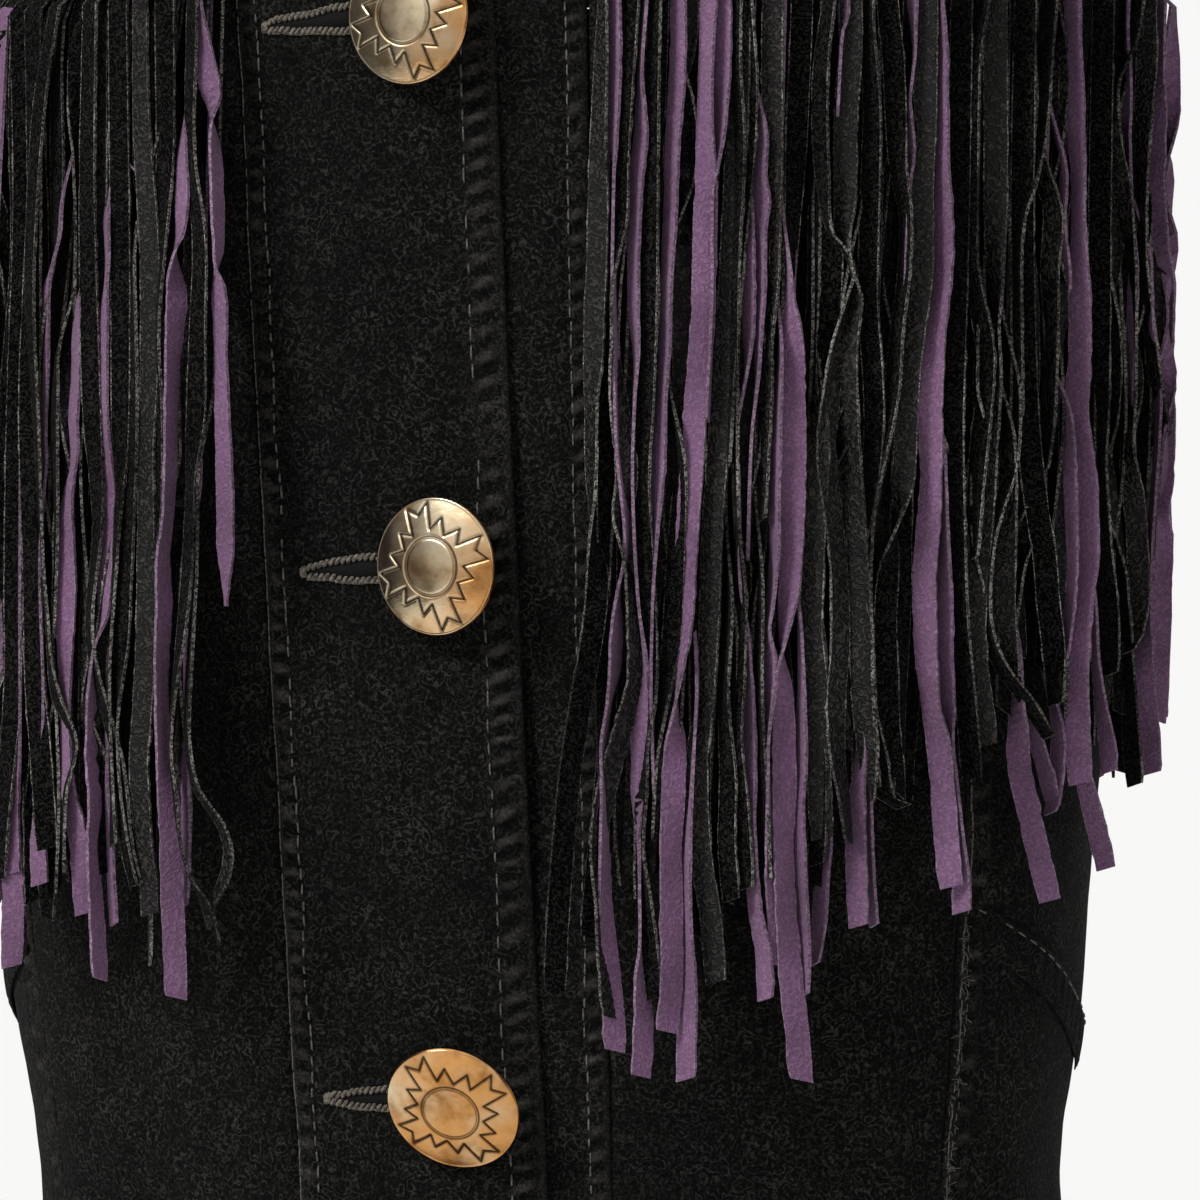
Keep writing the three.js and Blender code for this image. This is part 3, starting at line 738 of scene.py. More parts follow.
SEAM_ROWS = (0, 0.35, 0.9, 1.6, 2.5, 3.6, 4.8, 5.7, 6.4, 7.1, 8.2, 9.8, 12.2)
HEM_ROWS = (0, 0.5, 1.4, 3, 5, 7.5, 10, 11.2, 12, 12.8, 14, 16)
TOP_ROWS = (0, 0.5, 1.4, 3, 4.6, 6, 7.4)


def edge_dip(d):
    return -0.85 * np.exp(-((d / 0.75) ** 2))


def puffs(d, height, seed):
    """Slanting puckers along a turned edge, from -1 to 1."""
    ripple = np.sin((height + 0.3 * d) * 2 * math.pi / 6.6 + 2.0 * waves(height, 0 * height, 42, seed))
    return ripple * np.clip(0.62 + 0.5 * waves(height, 0 * height, 26, seed + 1), 0.1, 1.3)


def edge_wear_and_painted_light(d, height, stitch, seed):
    """Wear and painted light of a turned edge: its puffs are lighter, partly from wear and partly as a
    painted highlight, the hollows between the puffs go below zero for a painted shade, and its outer roll is
    lighter from wear.
    """
    near = np.exp(-(((d - stitch * 0.6) / (stitch * 0.27)) ** 2))
    roll = 0.25 * np.exp(-(((d - 0.9) / 0.9) ** 2))
    return np.clip(near * (0.05 + 1.1 * puffs(d, height, seed)) + roll, -1, 1)


def roping(d, height, stitch, seed, lift=0.55):
    """Relief of a turned edge: raised between the edge and its stitching, and puckered."""
    inside = ease((stitch - d) / 1.6 + 0.5)
    ripple = puffs(d, height, seed)
    near = np.exp(-(((d - stitch * 0.6) / (stitch * 0.3)) ** 2))
    groove = -0.42 * np.exp(-(((d - stitch) / 0.8) ** 2))
    beyond = 0.16 * ripple * np.exp(-(((d - stitch - 3) / 3.2) ** 2))
    return lift * inside + 0.85 * ripple * near + groove + beyond


class Panel:
    """One cut panel below the yoke, between two edges given as angles at a height."""

    def __init__(self, name, start, end, left=None, right=None, step=5.0, row_step=2.4,
                 sink=None, seed=1):
        """Left and right are the distances of the topstitching from those edges."""
        self.name, self.start, self.end = name, start, end
        self.left, self.right, self.sink, self.seed = left, right, sink, seed
        self.width = float(self.wide(np.array(WAIST_HEIGHT)))
        near = SEAM_ROWS if left else SEAM_ROWS[:5]
        far = SEAM_ROWS if right else SEAM_ROWS[:5]
        self.across = spaced(self.width, near, far, step)
        top = YOKE_HEIGHT - GAP / 2
        self.heights = spaced(top, HEM_ROWS, TOP_ROWS, row_step) * top

    def wide(self, height):
        a, b = self.start(height), self.end(height)
        return (b - a) * arc_speed((a + b) / 2, height)

    def relief(self, u, height):
        w = self.wide(height)
        dl, dr = u * w, (1 - u) * w
        out = edge_dip(dl) + edge_dip(dr) + edge_dip(height) + edge_dip(YOKE_HEIGHT - height)
        for d, kind, n in ((dl, self.left, 0), (dr, self.right, 5)):
            if kind:
                out = out + roping(d, height, kind, self.seed + n)
        out = out + roping(height, u * w, HEM_STITCH, self.seed + 11) * (height < HEM_TOP)
        x = u * w + 300 * self.seed
        out = out + 0.5 * waves(x, height * 0.6, 70, self.seed) + 0.16 * waves(x, height, 17, self.seed + 2)
        if self.sink is not None:
            out = out - self.sink(self.angle(u, height), height)
        return out

    def angle(self, u, height):
        return mix(self.start(height), self.end(height), u)

    def point(self, u, height, out=0.0):
        return body_point(self.angle(u, height), height, self.relief(u, height) + out)

    def make(self):
        u, height = np.meshgrid(self.across, self.heights)
        angle = self.angle(u, height)
        outer = self.point(u, height)
        w = self.wide(height)
        edge = np.minimum(np.minimum(u, 1 - u) * w, np.minimum(height, YOKE_HEIGHT - height))
        inner_out = -CLOTH + 0.35 * np.exp(-((edge / 0.8) ** 2))
        if self.sink is not None:
            inner_out = inner_out - self.sink(angle, height)
        inner = body_point(angle, height, inner_out)
        uv = np.stack([u * w + 200 * self.seed, height], -1)
        # Edge wear, with a painted highlight on the puffs and painted shade between them
        wear_and_painted_light = edge_wear_and_painted_light(height, u * w, HEM_STITCH, self.seed + 11)
        for d, kind, n in ((u * w, self.left, 0), ((1 - u) * w, self.right, 5)):
            if kind:
                more = edge_wear_and_painted_light(d, height, kind, self.seed + n)
                wear_and_painted_light = np.where(abs(more) > abs(wear_and_painted_light), more, wear_and_painted_light)
        obj = link(shell(f"cloth_{self.name}", outer, inner, uv, DENIM, wear_and_painted_light=wear_and_painted_light), [self.name])
        top = float(self.wide(np.array(YOKE_HEIGHT)))
        bottom = float(self.wide(np.array(0.0)))
        wide = max(top, bottom, self.width) + 1

    def stitch(self, side, distance, low=3.0, high=YOKE_HEIGHT - 3, **sizes):
        height = np.arange(low, high, 2.0)
        w = self.wide(height)
        u = distance / w if side == "left" else 1 - distance / w
        points = self.point(u, height, 0.2)
        lay_stitches(points, body_out(self.angle(u, height)), **sizes)

    def stitch_across(self, height, margin=1.5, **sizes):
        u = np.linspace(margin / self.width, 1 - margin / self.width, 90)
        h = np.full_like(u, height)
        lay_stitches(self.point(u, h, 0.2), body_out(self.angle(u, h)), **sizes)


GAP_ANGLE = 0.08


def left_tuck(angle, height):
    return tuck_at(np.sin(np.radians(angle)) * read(BODY, 1, height), height)


def seam_at(angle):
    """A seam that stays at one angle from the hem to the yoke."""
    return lambda height: angle + 0 * height


PANEL_LIST = [
    Panel("front_centre_right", lambda h: -princess_angle(h) + GAP_ANGLE, placket_angle,
          left=SEAM_STITCH, right=PLACKET_STITCH, step=3.2, row_step=2.0, seed=1),
    Panel("front_centre_left", lambda h: -angle_across(UNDERLAP, h), lambda h: princess_angle(h) - GAP_ANGLE,
          right=SEAM_STITCH, step=3.2, row_step=2.0, sink=left_tuck, seed=2),
    Panel("front_mid_left", lambda h: princess_angle(h) + GAP_ANGLE, seam_at(SIDE_FRONT - GAP_ANGLE),
          step=4.2, row_step=2.6, seed=3),
    Panel("front_mid_right", seam_at(-SIDE_FRONT + GAP_ANGLE), lambda h: -princess_angle(h) - GAP_ANGLE,
          step=4.2, row_step=2.6, seed=4),
    Panel("side_left", seam_at(SIDE_FRONT + GAP_ANGLE), seam_at(SIDE_BACK - GAP_ANGLE),
          left=SEAM_STITCH, right=SEAM_STITCH, step=5, row_step=3.4, seed=5),
    Panel("side_right", seam_at(-SIDE_BACK + GAP_ANGLE), seam_at(-SIDE_FRONT - GAP_ANGLE),
          left=SEAM_STITCH, right=SEAM_STITCH, step=5, row_step=3.4, seed=6),
    Panel("back", seam_at(SIDE_BACK + GAP_ANGLE), seam_at(360 - SIDE_BACK - GAP_ANGLE),
          step=5, row_step=4.0, seed=7),
]
PANELS = {panel.name: panel for panel in PANEL_LIST}


def make_panels():
    for panel in PANELS.values():
        panel.make()
    right, left = PANELS["front_centre_right"], PANELS["front_centre_left"]
    right.stitch("left", 6.2, pitch=4.4, length=3.0)
    right.stitch("left", 0.55, pitch=2.1, length=2.3, radius=0.2, stray=0.12)
    right.stitch("right", PLACKET_STITCH, pitch=6.0, length=3.7)
    left.stitch("right", 6.0, pitch=4.4, length=3.0)
    PANELS["side_left"].stitch("right", SEAM_STITCH)
    PANELS["side_right"].stitch("left", SEAM_STITCH)
    PANELS["side_left"].stitch("left", 0.9, pitch=2.6, length=2.9, radius=0.24, stray=0.45)
    PANELS["side_left"].stitch("left", 1.7, low=60, high=150, pitch=3.4, length=2.4, radius=0.15, stray=0.5)
    for panel in PANELS.values():
        panel.stitch_across(HEM_STITCH)
    finish_stitches("topstitch_body", THREAD)
    make_frays()


FRAYS = 90


def make_frays():
    """Raw threads that stick out of the worn outer seam."""
    panel = PANELS["side_left"]
    rng = np.random.default_rng(12)
    height = rng.uniform(62, 150, FRAYS)
    far = rng.uniform(0.2, 1.6, FRAYS)
    angle = panel.angle(far / panel.wide(height), height)
    start = panel.point(far / panel.wide(height), height, 0.2)
    out = body_out(angle)
    side = np.stack([out[:, 1] * -1, out[:, 0], 0 * height], -1)
    reach = rng.uniform(1.2, 3.4, FRAYS)[:, None]
    aside = side * rng.normal(0.4, 0.8, (FRAYS, 1))
    way = aside + out * 0.35 + np.array([0, 0, 1.0]) * rng.normal(-0.3, 0.9, (FRAYS, 1))
    end = start + way / np.linalg.norm(way, axis=-1, keepdims=True) * reach
    points = stitch_points((start, end), out, reach[:, 0], 0.13, 4)
    link(mesh_object("frayed_threads", points.reshape(-1, 3), stitch_faces(FRAYS, 4), [THREAD]))


# Yokes. Places are shares across, from the centre to the armhole, and up, from the seam. The
# first three sizes turn them into distances, and the fourth is the height of the flat cut
YOKE_WIDE = 170
YOKE_TALL = 190
YOKE_TOP = 180
YOKE_STITCH_SHARE = 0.034

# Soft folds, mostly from the armholes: from and to, as shares, then width and depth
FRONT_FOLDS = [
    (0.95, 0.28, 0.60, 0.10, 9, -1.7),
    (0.93, 0.40, 0.66, 0.27, 8, 1.3),
    (0.86, 0.62, 0.62, 0.58, 10, -1.1),
    (-0.95, 0.30, -0.66, 0.13, 10, -1.9),
    (-0.92, 0.43, -0.70, 0.30, 7, 1.2),
    (-0.84, 0.66, -0.58, 0.55, 9, -1.0),
    (0.40, 0.05, 0.34, 0.42, 12, -0.9),
    (-0.45, 0.04, -0.36, 0.34, 11, -0.8),
]
BACK_FOLDS = [
    (0.95, 0.30, 0.55, 0.14, 10, -2.0),
    (0.92, 0.46, 0.50, 0.36, 9, 1.4),
    (0.80, 0.66, 0.42, 0.62, 11, -1.2),
    (-0.95, 0.26, -0.50, 0.16, 9, -1.8),
    (-0.93, 0.41, -0.60, 0.28, 8, 1.5),
    (-0.82, 0.60, -0.35, 0.66, 12, -1.1),
    (0.12, 0.06, 0.05, 0.50, 14, -1.2),
    (-0.22, 0.05, -0.16, 0.38, 12, 0.9),
]


def creases(p, v, folds):
    depth = 0 * p
    x, y = p * YOKE_WIDE, v * YOKE_TALL
    for p0, v0, p1, v1, wide, deep in folds:
        start = np.array([p0 * YOKE_WIDE, v0 * YOKE_TALL])
        span = np.array([p1 * YOKE_WIDE, v1 * YOKE_TALL]) - start
        f = ((x - start[0]) * span[0] + (y - start[1]) * span[1]) / (span @ span)
        near = np.clip(f, 0, 1)
        off = np.hypot(x - start[0] - near * span[0], y - start[1] - near * span[1]) / wide
        depth = depth + deep * np.exp(-off * off) * ease(1.25 - np.abs(f - 0.35))
    return depth


def make_yoke(name, front, low, high, seed, sink=None):
    surface = upper_surface(front)
    normal = upper_normal(surface, front)
    columns = np.concatenate([
        [low, low + 0.003, low + 0.008],
        np.linspace(low + 0.02, high - 0.012, 80),
        [high - 0.006, high - 0.002, high],
    ])
    lift = GAP / 2 / (UNDERARM - YOKE_HEIGHT) * SIDE_SHARE * 2
    rows = np.concatenate([
        [lift, lift + 0.004, lift + 0.01, lift + 0.02],
        np.linspace(0.045, 1 - TRIM - 0.012, 70),
        [1 - TRIM - 0.005, 1 - TRIM - 0.002, 1 - TRIM],
    ])
    p, v = np.meshgrid(columns, rows)
    base, n = surface(p, v), normal(p, v)
    sunk = sink(base[..., 0]) if sink else 0 * p
    edge_bottom = (v - lift) * YOKE_TALL
    edge_side = np.minimum(p - low, high - p) * YOKE_WIDE
    edge_top = (1 - TRIM - v) * YOKE_TOP
    relief = edge_dip(edge_bottom) + edge_dip(edge_side) + edge_dip(edge_top)
    relief = relief + roping(edge_bottom, p * YOKE_WIDE, SEAM_STITCH, seed) * ease((60 - edge_bottom) / 20)
    relief = relief + 0.5 * waves(base[..., 0] + 90 * seed, base[..., 2], 75, seed)
    inward = ease(np.minimum(np.minimum(edge_side, edge_top), edge_bottom) / 12)
    folded = creases(p, v, FRONT_FOLDS if front else BACK_FOLDS) * inward
    outer = base + n * (relief + folded - sunk)[..., None]
    closing = 0.3 * np.exp(-(np.minimum(edge_side, edge_top) / 0.9) ** 2)
    inner = base + n * (folded - CLOTH - sunk + closing)[..., None]
    uv = np.stack([p * YOKE_WIDE + 400 * seed, v * YOKE_TALL], -1)
    obj = link(shell(f"cloth_{name}", outer, inner, uv, DENIM, flip=not front), [name])
    up, along = base[1:, :-1] - base[:-1, :-1], base[:-1, 1:] - base[:-1, :-1]
    area = np.linalg.norm(np.cross(up, along), axis=-1).sum()
    q = np.linspace(low + 0.02, high - 0.01, 240)
    row = np.full_like(q, YOKE_STITCH_SHARE)
    line, away = surface(q, row), normal(q, row)
    off = sink(line[:, 0]) if sink else 0 * q
    lay_stitches(line + away * (0.45 - off)[:, None], away)


def make_yokes():
    make_yoke("front_yoke_left", True, -0.07, 1 - TRIM, 21, tuck_at)
    make_yoke("front_yoke_right", True, -(1 - TRIM), 0.088, 22)
    make_yoke("back_yoke", False, -(1 - TRIM), 1 - TRIM, 23)
    finish_stitches("topstitch_yokes", THREAD)


# Sleeves and cuffs
def make_sleeve(side, sign):
    angles = np.linspace(0, 360, 81)[:-1]
    shares = np.concatenate([
        [0, 0.0008, 0.002, 0.005, 0.012],
        np.linspace(0.02, 0.99, 96),
        [0.9965, 0.999, 1],
    ])
    a, s = np.meshgrid(angles, shares)
    bend = np.exp(-(((s - 0.5) / 0.13) ** 2))
    inside = ease((np.cos(np.radians(a - 40)) + 0.6) / 1.6)
    ripples = np.sin((s * SLEEVE_LENGTH + 10 * np.sin(np.radians(a))) * 2 * math.pi / 34)
    crown = ease(1 - s / 0.22) * np.cos(np.radians(a * 7)) * 0.6
    relief = 2.0 * bend * inside * ripples + crown + 0.7 * waves(a * 0.9, s * 400, 80, 31 + sign)
    relief = relief + edge_dip(s * SLEEVE_LENGTH) + edge_dip((1 - s) * SLEEVE_LENGTH)
    relief = relief - 0.7 * np.exp(-(((a - 20) / 1.6) ** 2))
    fine = np.clip(relief, -2.6, 2.6)

    def both(points):
        points = points.copy()
        points[..., 0] *= sign
        return points

    outer = both(sleeve_point(a, s, fine))
    inner = both(sleeve_point(a, s, np.minimum(fine, 0) * 0.8 - CLOTH))
    uv = np.stack([a * 0.95, s * SLEEVE_LENGTH + 900], -1)
    tube = shell(f"cloth_sleeve_{side}", outer, inner, uv, DENIM, True, sign > 0)
    obj = link(tube, [f"sleeve_{side}"])

    places = np.concatenate([
        [0, 0.5, 1.4, 3],
        np.linspace(5, CUFF_LENGTH - 3, 22),
        [CUFF_LENGTH - 1.4, CUFF_LENGTH - 0.5, CUFF_LENGTH],
    ])
    a, down = np.meshgrid(angles, places)
    share = 1 + (GAP * 1.5 + down) / SLEEVE_LENGTH
    edge = np.minimum(down, CUFF_LENGTH - down)
    rise = CUFF_PROUD + edge_dip(edge) + roping(edge, a * 0.72, CUFF_STITCH, 41 + sign, 0.3)
    outer = both(sleeve_ring(a, share, rise))
    inner = both(sleeve_ring(a, share, CUFF_PROUD - CLOTH + 0 * rise))
    uv = np.stack([a * 0.72, down + 1600], -1)
    band = shell(f"cloth_cuff_{side}", outer, inner, uv, DENIM, True, sign > 0)
    obj = link(band, [f"cuff_{side}"])
    for d in (CUFF_STITCH, CUFF_LENGTH - CUFF_STITCH):
        ring = np.linspace(0, 360, 200)
        share = np.full_like(ring, 1 + (GAP * 1.5 + d) / SLEEVE_LENGTH)
        points = both(sleeve_ring(ring, share, CUFF_PROUD + 0.2 + 0 * ring))
        middle = both(sleeve_ring(ring, share, -30 + 0 * ring))
        away = points - middle
        lay_stitches(points, away / np.linalg.norm(away, axis=-1, keepdims=True))


def make_sleeves():
    for side, sign in (("left", 1), ("right", -1)):
        make_sleeve(side, sign)
    finish_stitches("topstitch_sleeves", THREAD)


# Collar
def leaf_grid(share, under):
    fold = [(-1, 2.6), (0.4, 3.9), (2.2, 4.4), (4.4, 3.9), (6.2, 2.4)]
    inside = [(-1, 0.6), (0.2, 1.8), (1.9, 2.4), (3.3, 2.1), (4.5, 1.1)]
    base = inside if under else fold
    slope = np.radians(read(COLLAR, 1, np.abs(share)))
    width = read(COLLAR, 2, np.abs(share))
    rows = [(o + 0 * share, u + 0 * share) for o, u in base]
    for f in np.concatenate([np.linspace(0.04, 0.94, 26), [0.975, 0.992, 1]]):
        rows.append((base[-1][0] + width * f * np.cos(slope), base[-1][1] - width * f * np.sin(slope)))
    grid = []
    for out, up in rows[::-1]:
        points = stand_point(share, 1 + 0 * share, out)
        points[..., 2] += up
        grid.append(points)
    return np.stack(grid)


def make_collar():
    share = np.concatenate([
        [COLLAR_END, COLLAR_END - 0.002, COLLAR_END - 0.006],
        np.linspace(0.935, -0.935, 190),
        [0.006 - COLLAR_END, 0.002 - COLLAR_END, -COLLAR_END],
    ])
    v = np.concatenate([[0, 0.02, 0.05], np.linspace(0.1, 0.9, 12), [0.95, 0.98, 1]])
    s, w = np.meshgrid(share, v)
    dip = edge_dip(w * STAND_HEIGHT) * 0.7 + edge_dip((1 - w) * STAND_HEIGHT) * 0.5
    outer, inner = stand_point(s, w, dip), stand_point(s, w, -CLOTH + 0 * s)
    uv = np.stack([s * 240, w * STAND_HEIGHT + 1800], -1)
    obj = link(shell("cloth_collar_stand", outer, inner, uv, DENIM), ["collar_stand"])
    outer, inner = leaf_grid(share, False), leaf_grid(share, True)
    rows = outer.shape[0]
    fade = np.linspace(0, 1, rows)[:, None]
    middle = (outer + inner) / 2
    pinch = np.exp(-(np.arange(rows)[:, None] / 1.1) ** 2)
    ends = np.exp(-((COLLAR_END - np.abs(share)) / 0.003) ** 2)[None]
    close = np.clip(pinch + ends, 0, 0.75)[..., None]
    outer, inner = mix(outer, middle, close), mix(inner, middle, close)
    uv = np.stack([share * 260 + 0 * fade, fade * 75 + 2000 + 0 * share], -1)
    obj = link(shell("cloth_collar_leaf", outer, inner, uv, DENIM), ["collar_leaf"])
    line = outer[4]
    inward = outer[4] - inner[4]
    lay_stitches(line + 0.15, inward / np.linalg.norm(inward, axis=-1, keepdims=True))
    finish_stitches("topstitch_collar", THREAD)


# Welts on the side panels
def make_welts():
    for side, sign in (("left", 1), ("right", -1)):
        across = np.concatenate([[0, 0.004, 0.01], np.linspace(0.02, 0.98, 60), [0.99, 0.996, 1]])
        up = np.array([0, 0.02, 0.06, 0.15, 0.3, 0.45, 0.6, 0.75, 0.88, 0.95, 0.985, 1])
        f, v = np.meshgrid(across, up)
        angle = mix(WELT_START, WELT_END, f)
        height = WELT_HIGH - WELT_DEPTH * (1 - v) - WELT_FALL * f
        edge = np.minimum(np.minimum(f, 1 - f) * WELT_RUN, np.minimum(v, 1 - v) * WELT_DEPTH)
        puff = 0.25 * np.sin(f * WELT_RUN * 2 * math.pi / 7.2) * np.sin(v * math.pi)
        rise = 0.65 + 1.2 * (1 - np.exp(-((edge / 0.9) ** 2)) * 0.7) + puff
        flank = body_point(sign * angle, height, rise)
        under = body_point(sign * angle, height, 0.55 + 0 * rise)
        uv = np.stack([f * WELT_RUN, v * WELT_DEPTH + 2400], -1)
        strip = shell(f"cloth_welt_{side}", flank, under, uv, DENIM, flip=sign < 0)
        obj = link(strip, [f"welt_{side}"])
        f = np.linspace(0.01, 0.99, 80)
        angle = sign * mix(WELT_START, WELT_END, f)
        lay_stitches(body_point(angle, WELT_HIGH - 2.0 - WELT_FALL * f, 2.0), body_out(angle))
    finish_stitches("topstitch_welts", THREAD)


# Conchos
def sunburst(x, y):
    """Depth of the engraving at places on a concho, in shares of its radius."""
    r = np.hypot(x, y)
    turns, reach = np.array(ZIGZAG).T
    turns = np.radians(turns)
    corners = np.stack([reach * np.sin(turns), reach * np.cos(turns)], -1)
    near = np.full(r.shape, 9.0)
    for a, b in zip(corners, np.roll(corners, -1, axis=0)):
        span = b - a
        f = np.clip(((x - a[0]) * span[0] + (y - a[1]) * span[1]) / (span @ span), 0, 1)
        near = np.minimum(near, np.hypot(x - a[0] - f * span[0], y - a[1] - f * span[1]))
    line = np.exp(-((near / 0.022) ** 2))
    rings = np.exp(-(((r - 0.40) / 0.011) ** 2)) * 0.7 + np.exp(-(((r - 0.435) / 0.013) ** 2))
    return np.clip(np.maximum(line, rings), 0, 1)


def make_concho(name, height, across, turn, droop, stand_off, spin, warmth):
    low = min(height, YOKE_HEIGHT)
    turned = float(angle_across(across, low))
    if height < YOKE_HEIGHT:
        seat = body_point(turned, float(height))
        away = np.array([0, -1.0, 0])
    else:
        share = (height - YOKE_HEIGHT) / (FRONT_NECK[1] - YOKE_HEIGHT)
        surface = upper_surface(True)
        seat = surface(turned / 90, share)
        away = upper_normal(surface, True)(0.01, share)
        away[0] = 0
        away = away / np.linalg.norm(away)
    facing = Matrix.Rotation(math.radians(droop), 3, "X") @ Vector(away)
    facing = Matrix.Rotation(-math.radians(turn), 3, "Z") @ facing
    lift = SHANK_RADIUS * math.sin(Vector(away).angle(facing)) + GAP
    centre = Vector(seat) + facing * stand_off + Vector(away) * lift
    right = Vector((0, 0, 1)).cross(facing).normalized()
    up = facing.cross(right)
    radii = np.concatenate([np.linspace(0.012, 0.95, 66), [0.958, 0.966, 0.974, 0.982, 0.99, 0.996, 1.0]])
    turns = np.linspace(0, 2 * math.pi, 289)[:-1]
    t, r = np.meshgrid(turns, radii)
    x, y = r * np.sin(t), r * np.cos(t)
    c, d = math.cos(math.radians(spin)), math.sin(math.radians(spin))
    groove = sunburst(x * c - y * d, x * d + y * c)
    worn = 0.022 * waves(19 * x, 19 * y, 9.0, 50 + int(height))
    rim = 0.1 * np.exp(-(((r - 0.975) / 0.012) ** 2)) - 0.5 * ease((r - 0.985) / 0.015)
    z = CONCHO_EDGE + CONCHO_DOME * (1 - r * r) + rim - GROOVE_DEPTH * groove + worn
    rows = [np.stack([x * CONCHO_RADIUS, y * CONCHO_RADIUS, z], -1)]
    shank = SHANK_RADIUS / CONCHO_RADIUS
    for share, deep in ((1.0, 0.15), (0.985, 0), (0.5, 0), (shank + 0.02, 0), (shank, -0.4),
                        (shank, 0.4 - stand_off), (shank - 0.02, -stand_off), (0.02, -stand_off)):
        ring = share * CONCHO_RADIUS
        rows.append(np.stack([ring * np.sin(turns), ring * np.cos(turns), deep + 0 * turns], -1)[None])
    flat = np.concatenate(rows)
    count, wide = flat.shape[:2]
    basis = np.array([right, up, facing])
    world = flat.reshape(-1, 3) @ basis + np.array(centre)
    obj = mesh_object(name, world, grid_quads(count, wide, True), [BRASS])
    # Copper share of the brass: each concho's own warmth, and a painted reflection that makes it more copper
    # and darker to the right and below and paler in the middle
    copper_and_painted_reflection = np.clip(warmth + 0.55 * x - 0.25 * y - 0.3 * (r < 0.4), 0, 1)
    for key, value in (("groove", groove), ("copper_and_painted_reflection", copper_and_painted_reflection)):
        value = np.concatenate([value.ravel(), np.zeros((count - len(radii)) * wide)])
        obj.data.attributes.new(key, "FLOAT", "POINT").data.foreach_set("value", value)
    work = bmesh.new()
    work.from_mesh(obj.data)
    bmesh.ops.holes_fill(work, edges=[edge for edge in work.edges if edge.is_boundary])
    bmesh.ops.recalc_face_normals(work, faces=work.faces)
    work.to_mesh(obj.data)
    work.free()
    return link(obj, [name.replace("engraved_", "")])


def make_conchos():
    for name, *sizes in CONCHOS:
        make_concho(f"engraved_{name}", *sizes)


# Buttonholes: two rows of twisted thread round the slit, which holds a near-black strip of painted shade
def make_buttonholes():
    bars, slit = [], []
    panel = PANELS["front_centre_right"]

    def at(x, h):
        angle = np.degrees(np.arcsin(x / read(BODY, 1, h)))
        u = (angle - panel.start(h)) / (panel.end(h) - panel.start(h))
        return panel.point(u, h, 0.0), body_out(angle)

    for index, ((start, level), end, high, low) in enumerate(BUTTONHOLES):
        run = end - start
        count = int((run + 6) / 1.55)
        f = np.linspace(0, 1 + 6 / run, count)
        x = start + f * run
        middle = mix(level, (high + low) / 2, f)
        half = (high - low) / 2 * mix(0.42, 1.0, ease(f * 1.2)) * ease(f * 7 + 0.35)
        for row in (-1, 1):
            wob = 0.2 * waves(x, 0 * x, 7, 60 + index + row)
            mid = middle + row * half + wob
            one, n = at(x - 0.65, mid - 0.75)
            two, _ = at(x + 0.65, mid + 0.75)
            bars.append(stitch_points((one + n * 0.5, two + n * 0.5), n, 2.7, 0.62, 6))
            one, n = at(x - 0.2, mid + row * 0.7)
            two, _ = at(x + 1.1, mid + row * 0.7)
            bars.append(stitch_points((one + n * 0.1, two + n * 0.1), n, 1.5, 0.42, 6))
        knot = np.array([start - 0.4, start + 0.4, start])
        one, n = at(knot, level + np.array([-1.5, -1.3, -0.6]))
        two, _ = at(knot, level + np.array([1.3, 1.5, 0.7]))
        bars.append(stitch_points((one + n * 0.6, two + n * 0.6), n, 3.2, 0.7, 6))
        slit.append([at(x, middle - half * 0.75), at(x, middle + half * 0.75)])
    sets = np.concatenate([b.reshape(-1, 3) for b in bars])
    count = sum(len(b) for b in bars)
    link(mesh_object("buttonhole_thread", sets, stitch_faces(count, 6), [CORD]))
    # A near-black strip in each slit: painted shade of the opening
    points, quads = [], []
    for (low, n), (high, m) in slit:
        base = sum(len(p) for p in points)
        wide = len(low)
        points += [low + n * 0.25, high + m * 0.25, high - m * 0.2, low - n * 0.2]
        for k in range(4):
            a, b = base + k * wide, base + ((k + 1) % 4) * wide
            i = np.arange(wide - 1)
            quads.append(np.stack([a + i, a + i + 1, b + i + 1, b + i], -1))
    link(mesh_object("buttonhole_slit_shade", np.concatenate(points), np.concatenate(quads), [SLIT_SHADE]))


